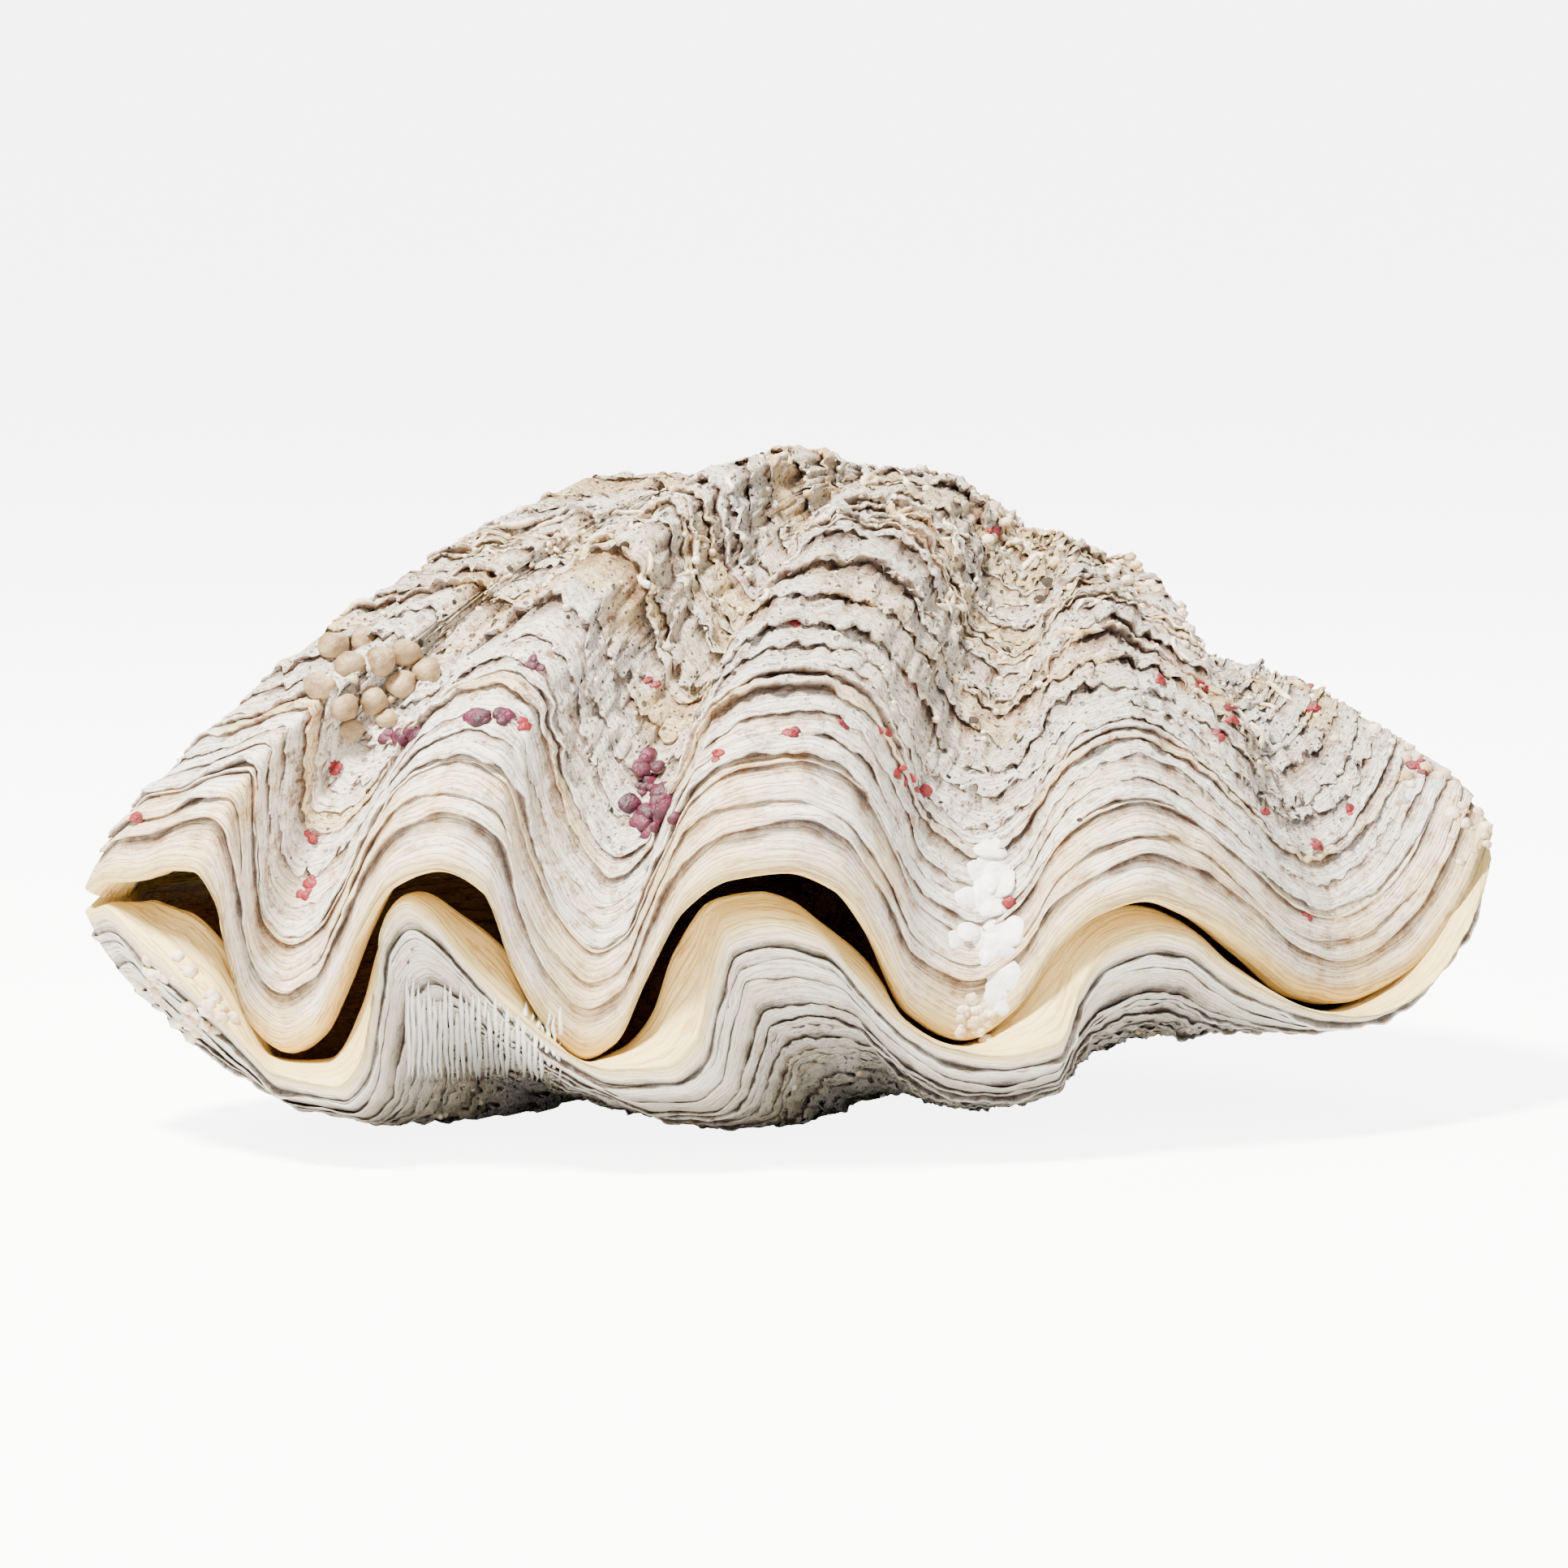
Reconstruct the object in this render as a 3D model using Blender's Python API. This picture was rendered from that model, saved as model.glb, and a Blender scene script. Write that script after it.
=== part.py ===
# Giant clam shell, both valves together, lying on its lower valve.
# Metres, +Z up, the folded front margin faces -Y, the hinge is at the back right.
# Each valve grew as a spiral about the hinge: every older margin is a smaller copy of the
# present one, turned up (upper valve) or down (lower valve) about an axis along X.

import math

import bmesh
import bpy
import numpy as np
from mathutils import Matrix, Vector, noise
from mathutils.bvhtree import BVHTree

MM = 0.001

# Plan of the closed shell, seen from above, in millimetres. The front is one bulging arc.
LEFT_END_X = -155.0
RIGHT_END_X = 162.0
FRONT_Y = -95.0
FRONT_X = -45.0
LEFT_END_Y = -42.0
RIGHT_END_Y = 8.0
PLAN_POWER = 1.75
HINGE = np.array([67.0, 91.0, 0.0])

# The wave of each valve's outer margin along the front: (x, height), left end to right end.
UPPER_WAVE = [
    (-155, 8), (-150, 15), (-142, 19), (-134, 24), (-128, 25), (-123, 18), (-121, 4), (-117, -11),
    (-110, -16), (-103, -11), (-97, 1), (-91, 16), (-84, 28), (-73, 33), (-64, 28), (-58, 9),
    (-51, -5), (-43, -12), (-36, -8), (-29, 8), (-21, 24), (-11, 31), (0, 32), (11, 27),
    (19, 15), (28, -5), (41, -13), (51, -7), (60, 7), (69, 14), (78, 16), (90, 10),
    (104, -3), (117, -16), (130, -21), (141, -19), (151, -12), (157, -4), (162, 4),
]
LOWER_WAVE = [
    (-155, 3), (-149, 8), (-141, 4), (-132, -1), (-124, -7), (-116, -14), (-111, -18), (-97, -19),
    (-91, -12), (-88.5, 2), (-86.5, 16), (-81, 22), (-77, 20), (-67, 9), (-58, 0), (-49, -7),
    (-38, -12), (-26, -12), (-19, -7), (-16, 5), (-12.5, 16), (-4, 18), (7, 15), (16, 5),
    (25, -5), (36, -12), (50, -15), (60, -14), (65, -2), (71, 5), (80, 7), (88, 5),
    (98, -4), (109, -12), (122, -19), (134, -22), (145, -20), (154, -13), (162, -2),
]
# The inner rim of the lower valve, whose tongues leave a gap under each of the upper crests.
TONGUE_WAVE = [
    (-155, 5), (-150, 7), (-144, 9.5), (-136, 9.5), (-128, 5), (-123, -4), (-115, -21), (-102, -19),
    (-94, -4), (-91, 7), (-88, 16), (-84, 21), (-80, 22), (-71, 17.5), (-62, 11), (-54, -3),
    (-44, -16), (-35, -13), (-28, -5), (-23, 10), (-15, 21), (-4, 22.5), (3, 20), (9, 15),
    (19, 6), (30, -10), (42, -17), (54, -8), (63, 6), (68, 8.5), (77, 10.8), (90, 6.5),
    (104, -8), (130, -25), (151, -16), (162, 0),
]
# The back margin from the right end, past the hinge, to the left end: (x, y, height).
BACK_MARGIN = [
    (162, 8, 2), (158, 27, 3), (143, 47, 3), (120, 64, 2), (94, 78, 1), (67, 84, 0),
    (38, 76, 1), (-2, 58, 3), (-48, 34, 4), (-92, 10, 3), (-128, -10, 3), (-148, -25, 5), (-155, -42, 8),
]
# How far, in knots of the back margin, its ends follow the front margin's heights.
END_BLEND = 1.5
FOLD_LEAN = 0.22
WAVE_MIDDLE = 8.0
FOLD_HALF_HEIGHT = 22.0
BACK_CREST = 0.4
LIP_DEPTH = 10.0
BACK_LIP_DEPTH = 7.0
LIP_DROP = 3.0
VALVE_GAP = 1.3

# How each fold grew: (x on the margin, shrink rate, its bend, sideways rate, its bend).
UPPER_GROWTH = [
    (-155, 0.58, 0.23, 0.92, 0.09), (-132, 0.76, 0.03, 1.03, 0.03), (-110, 0.86, 0.01, 1.12, 0.38),
    (-76, 0.89, 0.04, 1.17, 0.18), (-42, 0.93, 0.18, 1.05, 0.22), (4, 1.03, 0.02, 1.22, 0.17),
    (44, 0.98, 0.03, 1.30, 0.18), (86, 1.15, -0.06, 1.23, 0.12), (108, 1.02, 0.08, 1.12, 0.19),
    (134, 1.13, 0.04, 1.18, 0.01), (162, 1.46, -0.17, 1.33, -0.03),
]
LOWER_GROWTH = [
    (-155, 1.20, 0.31, 1.01, 0.14), (-118, 1.20, 0.00, 1.04, 0.28), (-76, 0.84, -0.38, 1.05, 0.18),
    (-42, 0.98, -0.38, 1.12, 0.01), (4, 0.89, -0.32, 1.15, -0.03), (44, 0.97, -0.24, 1.07, 0.05),
    (86, 1.00, -0.19, 1.01, 0.09), (134, 1.21, -0.24, 1.01, 0.06), (162, 1.21, -0.16, 1.00, 0.12),
]
BEND_WIDTH = 0.2
# The lower valve's folds sink into its round belly with age.
FOLDS_SINK = 0.55
FOLDS_SINK_BY = 0.5
LOWER_PLAIN_Z = -4.0
UPPER_PLAIN_Z = 12.0
# The upper valve's first valley fills up to the crests beside it: (x, height) of the filled margin.
FILLED_WAVE = [(-155, 8), (-142, 19), (-132, 24), (-100, 24), (-73, 33)]
FILL_SHARE = 0.85
FILL_AGES = (0.10, 0.42)
FILLED_GROWTH = [
    (-155, 0.58, 0.23, 0.92, 0.09), (-132, 0.80, 0.03, 1.05, 0.03), (-76, 0.89, 0.04, 1.17, 0.18),
]
# Both valves are plain at the hinge: all folds fade between these ages.
PLAIN_AGES = (0.70, 1.60)
PLAIN_GROWTH = {True: (1.00, 0.0, 1.18, 0.05), False: (1.00, -0.1, 1.12, 0.05)}

# Ledges, where an older layer's edge stands out over the newer one: (age angle, height).
UPPER_LEDGES = [
    (0.045, 1.6), (0.085, 2.2), (0.130, 2.6), (0.175, 2.4),
    (0.225, 2.6), (0.285, 2.2), (0.355, 2.0), (0.440, 1.8),
]
LOWER_LEDGES = [(0.05, 1.5), (0.12, 2.2), (0.20, 2.0), (0.31, 1.8)]
LEDGE_RISE = 0.012
OLDEST_LEDGE = 0.8
# The share of a ledge's height that is left in a valley.
VALLEY_SHARE = 0.3
OLD_AGES = [0.56, 0.70, 0.86, 1.05, 1.27, 1.52, 1.80, 2.10]
UMBO_CLOSES = 0.45

# The bowl inside: the folds fade from the lip into a smooth oval.
BOWL_AGES = [0.0, 0.07, 0.18, 0.38, 0.68, 1.02, 1.40]
BOWL_CENTRE = np.array([5.0, -12.0])
BOWL_SCALE = 0.80
BOWL_RISE = 4.0
THINNEST_WALL = 3.0
WALL_PASSES = 3
HINGE_PLATE = 70.0
FOLDS_FADE_BY = 0.40

# Uneven old surface: height and size of its lumps, and the age angles they start, grow over and fade from.
LUMP_HEIGHT = 1.4
LUMP_SIZE = 17.0
LUMPS_FROM = 0.25
LUMPS_GROW_OVER = 0.3
LUMPS_FADE_FROM = 0.8
# Round knobs grown on the left flank of the second fold: (x on the margin, age angle, radius).
KNOBS = [
    (-131.5, 0.240, 3.8), (-122.5, 0.260, 4.2), (-129.0, 0.265, 3.6), (-120.5, 0.295, 4.4),
    (-123.5, 0.300, 4.0), (-112.5, 0.325, 3.8), (-122.5, 0.330, 4.2), (-106.0, 0.335, 4.0),
    (-113.5, 0.365, 3.6),
]
KNOB_STANDS_OUT = 1.8

FRONT_COLUMNS = 58
BACK_COLUMNS = 14
SAMPLES = 1600
SEWN_WITHIN = 1e-7

# How the closed shell lies: turned about the hinge axis and about Y, its lowest spot worn flat.
REST_TILT = math.radians(13.0)
REST_ROLL = math.radians(0.0)
FOOT_DEPTH = 3.5


def steady_curve(knots, x):
    """Monotone cubic through the knots, level at every crest and valley."""
    kx = np.array([k[0] for k in knots], float)
    kz = np.array([k[1] for k in knots], float)
    step = np.diff(kx)
    slope = np.diff(kz) / step
    before, after = slope[:-1], slope[1:]
    steady = before * after > 0
    wide_a = 2 * step[1:] + step[:-1]
    wide_b = step[1:] + 2 * step[:-1]
    inner = np.where(steady, (wide_a + wide_b) / (wide_a / np.where(steady, before, 1)
                                                  + wide_b / np.where(steady, after, 1)), 0)
    tangent = np.concatenate([[slope[0]], inner, [slope[-1]]])
    i = np.clip(np.searchsorted(kx, x) - 1, 0, len(step) - 1)
    t = (x - kx[i]) / step[i]
    return (kz[i] * (2 * t**3 - 3 * t**2 + 1) + kz[i + 1] * (3 * t**2 - 2 * t**3)
            + tangent[i] * step[i] * (t**3 - 2 * t**2 + t)
            + tangent[i + 1] * step[i] * (t**3 - t**2))


def smooth_step(t):
    t = np.clip(t, 0, 1)
    return t * t * (3 - 2 * t)


def front_y(x):
    end_y = np.where(x < FRONT_X, LEFT_END_Y, RIGHT_END_Y)
    reach = np.where(x < FRONT_X, FRONT_X - LEFT_END_X, RIGHT_END_X - FRONT_X)
    t = np.clip(np.abs(x - FRONT_X) / reach, 0, 1)
    return end_y + (FRONT_Y - end_y) * (1 - t**PLAN_POWER) ** (1 / PLAN_POWER)


def evenly(points, count):
    """Fractional sample numbers that are evenly spaced along the points, the last left out."""
    run = np.concatenate([[0], np.cumsum(np.linalg.norm(np.diff(points, axis=0), axis=1))])
    return np.interp(np.linspace(0, run[-1], count, endpoint=False), run, np.arange(len(points)))


def margins(upper):
    """The closed outer and inner edges of one valve's lip, and how far each point is a fold's crest."""
    side = 1 if upper else -1
    swing = np.sin(np.linspace(-math.pi / 2, math.pi / 2, SAMPLES))
    x = (LEFT_END_X + RIGHT_END_X) / 2 + (RIGHT_END_X - LEFT_END_X) / 2 * swing
    wave = steady_curve(UPPER_WAVE if upper else LOWER_WAVE, x)
    edge = steady_curve(UPPER_WAVE, x) - LIP_DROP
    if not upper:
        edge = np.minimum(steady_curve(TONGUE_WAVE, x), edge - VALVE_GAP)
    outer = np.stack([x, front_y(x) - side * FOLD_LEAN * (wave - WAVE_MIDDLE), wave], axis=1)
    plan = np.stack([x, front_y(x)], axis=1)
    inner = np.concatenate([plan + LIP_DEPTH * inward(plan), edge[:, None]], axis=1)
    crest = np.clip((side * (wave - WAVE_MIDDLE) / FOLD_HALF_HEIGHT + 1) / 2, 0, 1)

    knots = np.array(BACK_MARGIN, float)
    along = np.linspace(0, len(knots) - 1, SAMPLES)
    back = np.stack([steady_curve(list(enumerate(knots[:, i])), along) for i in range(3)], axis=1)
    share = np.minimum(along, len(knots) - 1 - along)[:, None]
    depth = BACK_LIP_DEPTH + (LIP_DEPTH - BACK_LIP_DEPTH) * (1 - smooth_step(share))
    back_inner = back.copy()
    back_inner[:, :2] += depth * inward(back[:, :2])
    back[:, 2] += 0 if upper else -VALVE_GAP
    back_inner[:, 2] -= 0 if upper else VALVE_GAP
    ends = 1 - smooth_step(share[:, 0] / END_BLEND)
    tie_a = np.where(along < len(knots) / 2, outer[-1, 2], outer[0, 2])
    tie_b = np.where(along < len(knots) / 2, inner[-1, 2], inner[0, 2])
    back[:, 2] += ends * (tie_a - back[:, 2])
    back_inner[:, 2] += ends * (tie_b - back_inner[:, 2])

    front_at = evenly(outer, FRONT_COLUMNS)
    back_at = evenly(back, BACK_COLUMNS)
    outer_loop = np.concatenate([take(outer, front_at), take(back, back_at)])
    inner_loop = np.concatenate([take(inner, front_at), take(back_inner, back_at)])
    front_crests = np.interp(front_at, np.arange(SAMPLES), crest)
    crests = np.concatenate([front_crests, np.full(BACK_COLUMNS, BACK_CREST)])
    return outer_loop, inner_loop, crests


def take(values, at):
    """The values at fractional sample numbers."""
    return np.stack([np.interp(at, np.arange(SAMPLES), v) for v in values.T], axis=1)


def inward(plan):
    """Unit vectors across a plan curve that runs anticlockwise, towards its inside."""
    along = np.gradient(plan, axis=0)
    across = np.stack([-along[:, 1], along[:, 0]], axis=1)
    return across / np.linalg.norm(across, axis=1, keepdims=True)


def ramp(past_bend):
    """Level well before the bend, steady well after it."""
    return 0.5 * (past_bend + np.sqrt(past_bend**2 + BEND_WIDTH**2))


def shrink(rate, bend, age):
    """Size of the margin at this age angle: quick change of size after the bend, little before."""
    return np.exp(-rate * (ramp(age - bend) - ramp(-bend)))


def fold_growth(loop, upper, rates=None):
    table = np.array(rates or (UPPER_GROWTH if upper else LOWER_GROWTH), float)
    return [steady_curve(table[:, [0, i]], loop[:, 0]) for i in range(1, 5)]


def grown(loop, age, upper, growth=None):
    """The loop as it lay at this age: smaller, and turned about the hinge."""
    rate, bend, side_rate, side_bend = growth or fold_growth(loop, upper)
    size = shrink(rate, bend, age)
    x, y, z = (loop - HINGE).T
    up = 1 if upper else -1
    turned_y = y * math.cos(age) + up * z * math.sin(age)
    turned_z = -up * y * math.sin(age) + z * math.cos(age)
    turned_x = x * shrink(side_rate, side_bend, age)
    return HINGE + np.stack([turned_x, turned_y * size, turned_z * size], axis=1)


def outward(rings):
    """Unit normals of a stack of closed rings, out of the shell for rings that grow older."""
    around = np.roll(rings, -1, axis=1) - np.roll(rings, 1, axis=1)
    ageing = np.gradient(rings, axis=0)
    normal = np.cross(around, ageing)
    return normal / np.maximum(np.linalg.norm(normal, axis=2, keepdims=True), 1e-9)


def ring_at(outer, age, upper):
    """The outer margin as it lay at this age, with the folds that fade by then evened out."""
    x = outer[:FRONT_COLUMNS, 0]
    plain = outer.copy()
    plain[:FRONT_COLUMNS, 1] = front_y(x)
    plain[:FRONT_COLUMNS, 2] = UPPER_PLAIN_Z if upper else LOWER_PLAIN_Z
    ring = grown(outer, age, upper)
    if upper:
        even = outer.copy()
        even[:FRONT_COLUMNS, 2] = np.maximum(outer[:FRONT_COLUMNS, 2], steady_curve(FILLED_WAVE, x))
        even[:FRONT_COLUMNS, 1] = front_y(x) - FOLD_LEAN * (even[:FRONT_COLUMNS, 2] - WAVE_MIDDLE)
        growth = fold_growth(even, True, FILLED_GROWTH)
        share = FILL_SHARE * smooth_step((age - FILL_AGES[0]) / (FILL_AGES[1] - FILL_AGES[0]))
        first = np.arange(len(outer)) < np.searchsorted(x, FILLED_WAVE[-1][0])
        share = np.where(first, share, 0)[:, None]
        ring = ring * (1 - share) + grown(even, age, upper, growth) * share
    else:
        share = FOLDS_SINK * smooth_step(age / FOLDS_SINK_BY)
        ring = grown(outer * (1 - share) + plain * share, age, upper)
    old = smooth_step((age - PLAIN_AGES[0]) / (PLAIN_AGES[1] - PLAIN_AGES[0]))
    return ring * (1 - old) + grown(plain, age, upper, PLAIN_GROWTH[upper]) * old


def outside(outer, crests, upper):
    """Rings of the outside from the margin to the oldest shell, with ledges and lumps."""
    ledges = UPPER_LEDGES if upper else LOWER_LEDGES
    ages, heights = [0.0], [0.0]
    for age, height in ledges:
        ages += [age, age + LEDGE_RISE]
        heights += [0.0, height]
    ages += OLD_AGES
    heights += [OLDEST_LEDGE] + [0.0] * (len(OLD_AGES) - 1)
    rings = np.stack([ring_at(outer, age, upper) for age in ages])
    normals = outward(rings) * (1 if upper else -1)
    for i, (age, height) in enumerate(zip(ages, heights)):
        lift = height * (VALLEY_SHARE + (1 - VALLEY_SHARE) * crests)
        old = smooth_step((age - LUMPS_FROM) / LUMPS_GROW_OVER) / (1 + max(age - LUMPS_FADE_FROM, 0))
        lumps = [noise.noise(Vector(p) / LUMP_SIZE) for p in rings[i]]
        rings[i] += normals[i] * (lift + LUMP_HEIGHT * old * np.array(lumps))[:, None]
    return rings


def bowl(outer, inner, upper):
    """Rings of the inside from the lip to the deepest part of the bowl."""
    oval = outer.copy()
    oval[:, :2] = BOWL_CENTRE + BOWL_SCALE * (outer[:, :2] - BOWL_CENTRE)
    oval[:, 2] = BOWL_RISE * (1 if upper else -1)
    rings = []
    for age in BOWL_AGES:
        fade = smooth_step(age / FOLDS_FADE_BY)
        folded = grown(inner, age, upper)
        rings.append(folded * (1 - fade) + grown(oval, age, upper, PLAIN_GROWTH[upper]) * fade)
    return np.stack(rings)


def skin(rings):
    """A search tree of a stack of closed rings."""
    count = rings.shape[1]
    quads = []
    for row in range(len(rings) - 1):
        for i in range(count):
            k = (i + 1) % count
            quads.append((row * count + i, row * count + k, (row + 1) * count + k, (row + 1) * count + i))
    return BVHTree.FromPolygons([Vector(p) for p in rings.reshape(-1, 3)], quads)


def keep_wall(hollow, shell, upper):
    """Moves the bowl in wherever the wall between it and the outside would be too thin."""
    tree = skin(shell)
    side = 1 if upper else -1
    for _ in range(WALL_PASSES):
        for row in range(1, len(hollow)):
            for i, point in enumerate(hollow[row]):
                spot, normal, _, _ = tree.find_nearest(Vector(point))
                wall = -side * normal.dot(Vector(point) - spot)
                needed = THINNEST_WALL * min(np.linalg.norm(point - HINGE) / HINGE_PLATE, 1) ** 2
                if wall < needed:
                    hollow[row, i] = point - side * (needed - wall) * np.array(normal)
    return hollow


def pole(ring):
    return np.repeat(ring.mean(axis=0)[None], len(ring), axis=0)


def valve_rings(upper):
    outer, inner, crests = margins(upper)
    shell = outside(outer, crests, upper)
    hollow = keep_wall(bowl(outer, inner, upper), shell, upper)
    umbo = pole(shell[-1])
    closing = umbo + UMBO_CLOSES * (shell[-1] - umbo)
    rings = [umbo, closing] + list(shell[::-1]) + list(hollow) + [pole(hollow[-1])]
    return np.stack(rings)


def knob_centres():
    """Where the knobs sit on the outside of the upper valve."""
    outer, _, _ = margins(True)
    centres = []
    for x, age, _ in KNOBS:
        ring = ring_at(outer, age, True)[:FRONT_COLUMNS]
        centres.append([np.interp(x, outer[:FRONT_COLUMNS, 0], ring[:, i]) for i in range(3)])
    return np.array(centres), [radius for _, _, radius in KNOBS]


def lay_down(points):
    """Turns the shell to the way it rests and gives metres."""
    turn = Matrix.Rotation(REST_ROLL, 3, "Y") @ Matrix.Rotation(REST_TILT, 3, "X")
    return points @ np.array(turn).T * MM


def grid_mesh(name, rings):
    """One closed mesh: a grid whose rows are the rings, sewn at its seam and poles."""
    rows, columns = rings.shape[:2]
    bm = bmesh.new()
    bmesh.ops.create_grid(bm, x_segments=columns, y_segments=rows - 1, size=0.5)
    for vert in bm.verts:
        column = round((vert.co.x + 0.5) * columns) % columns
        row = round((vert.co.y + 0.5) * (rows - 1))
        vert.co = rings[row, column]
    bmesh.ops.remove_doubles(bm, verts=bm.verts, dist=SEWN_WITHIN)
    bmesh.ops.triangulate(bm, faces=bm.faces)
    bmesh.ops.recalc_face_normals(bm, faces=bm.faces)
    if bm.calc_volume(signed=True) < 0:
        bmesh.ops.reverse_faces(bm, faces=bm.faces)
    mesh = bpy.data.meshes.new(name)
    bm.to_mesh(mesh)
    bm.free()
    mesh.shade_smooth()
    return mesh


def knob_mesh(place, radius):
    bm = bmesh.new()
    bmesh.ops.create_icosphere(bm, subdivisions=2, radius=radius, matrix=place)
    mesh = bpy.data.meshes.new("knob")
    bm.to_mesh(mesh)
    bm.free()
    return mesh


def grow_knobs(obj, shift):
    """Fuses the round knobs, one after another, into the valve they grew on."""
    centres, radius = knob_centres()
    tree = BVHTree.FromObject(obj, bpy.context.evaluated_depsgraph_get())
    for centre, size in zip(lay_down(centres) + shift, radius):
        spot, normal, _, _ = tree.find_nearest(Vector(centre))
        place = Matrix.Translation(spot + normal * KNOB_STANDS_OUT * MM)
        knob = bpy.data.objects.new("knob", knob_mesh(place, size * MM))
        bpy.context.scene.collection.objects.link(knob)
        union = obj.modifiers.new("grown on", "BOOLEAN")
        union.operation = "UNION"
        union.solver = "MANIFOLD"
        union.object = knob
        joined = obj.evaluated_get(bpy.context.evaluated_depsgraph_get())
        obj.data = bpy.data.meshes.new_from_object(joined)
        obj.modifiers.clear()
        bpy.data.objects.remove(knob)
    bm = bmesh.new()
    bm.from_mesh(obj.data)
    bmesh.ops.triangulate(bm, faces=bm.faces)
    bm.to_mesh(obj.data)
    bm.free()
    obj.data.shade_smooth()


def shell_material(name, colour, roughness):
    material = bpy.data.materials.new(name)
    material.use_nodes = True
    shader = material.node_tree.nodes["Principled BSDF"]
    shader.inputs["Base Color"].default_value = (*colour, 1)
    shader.inputs["Roughness"].default_value = roughness
    shader.inputs["Metallic"].default_value = 0
    return material


def main():
    for obj in list(bpy.data.objects):
        bpy.data.objects.remove(obj)
    upper = lay_down(valve_rings(True))
    lower = lay_down(valve_rings(False))
    both = np.concatenate([upper.reshape(-1, 3), lower.reshape(-1, 3)])
    low, high = both.min(axis=0), both.max(axis=0)
    shift = np.array([-(low[0] + high[0]) / 2, -(low[1] + high[1]) / 2, -low[2] - FOOT_DEPTH * MM])
    pieces = (
        ("upper_valve", upper, shell_material("warm_white_shell", (0.80, 0.73, 0.62), 0.55)),
        ("lower_valve", lower, shell_material("grey_white_shell", (0.72, 0.69, 0.64), 0.60)),
    )
    for name, rings, material in pieces:
        placed = rings + shift
        placed[..., 2] = np.maximum(placed[..., 2], 0)
        obj = bpy.data.objects.new(name, grid_mesh(name, placed))
        bpy.context.scene.collection.objects.link(obj)
        if name == "upper_valve":
            grow_knobs(obj, shift)
        obj.data.materials.clear()
        obj.data.materials.append(material)


main()
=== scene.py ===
# Giant clam shell: both valves of a folded reef clam, lying closed on the lower one.
import math
import random

import bmesh
import bpy
import numpy as np
from mathutils import Matrix, Vector, noise
from mathutils.bvhtree import BVHTree


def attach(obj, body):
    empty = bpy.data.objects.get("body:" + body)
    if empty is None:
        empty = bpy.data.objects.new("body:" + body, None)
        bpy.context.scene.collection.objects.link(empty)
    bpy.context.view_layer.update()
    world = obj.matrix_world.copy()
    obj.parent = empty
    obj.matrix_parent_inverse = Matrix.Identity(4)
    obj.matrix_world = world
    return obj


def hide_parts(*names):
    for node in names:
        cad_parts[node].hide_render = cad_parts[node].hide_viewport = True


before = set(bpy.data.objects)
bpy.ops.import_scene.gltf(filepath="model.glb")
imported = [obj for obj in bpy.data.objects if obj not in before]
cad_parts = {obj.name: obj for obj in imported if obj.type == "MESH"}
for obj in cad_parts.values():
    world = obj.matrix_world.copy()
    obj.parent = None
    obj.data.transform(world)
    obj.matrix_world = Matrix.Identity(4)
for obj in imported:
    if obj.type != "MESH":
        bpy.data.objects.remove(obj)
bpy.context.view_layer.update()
mm = 0.001

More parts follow.
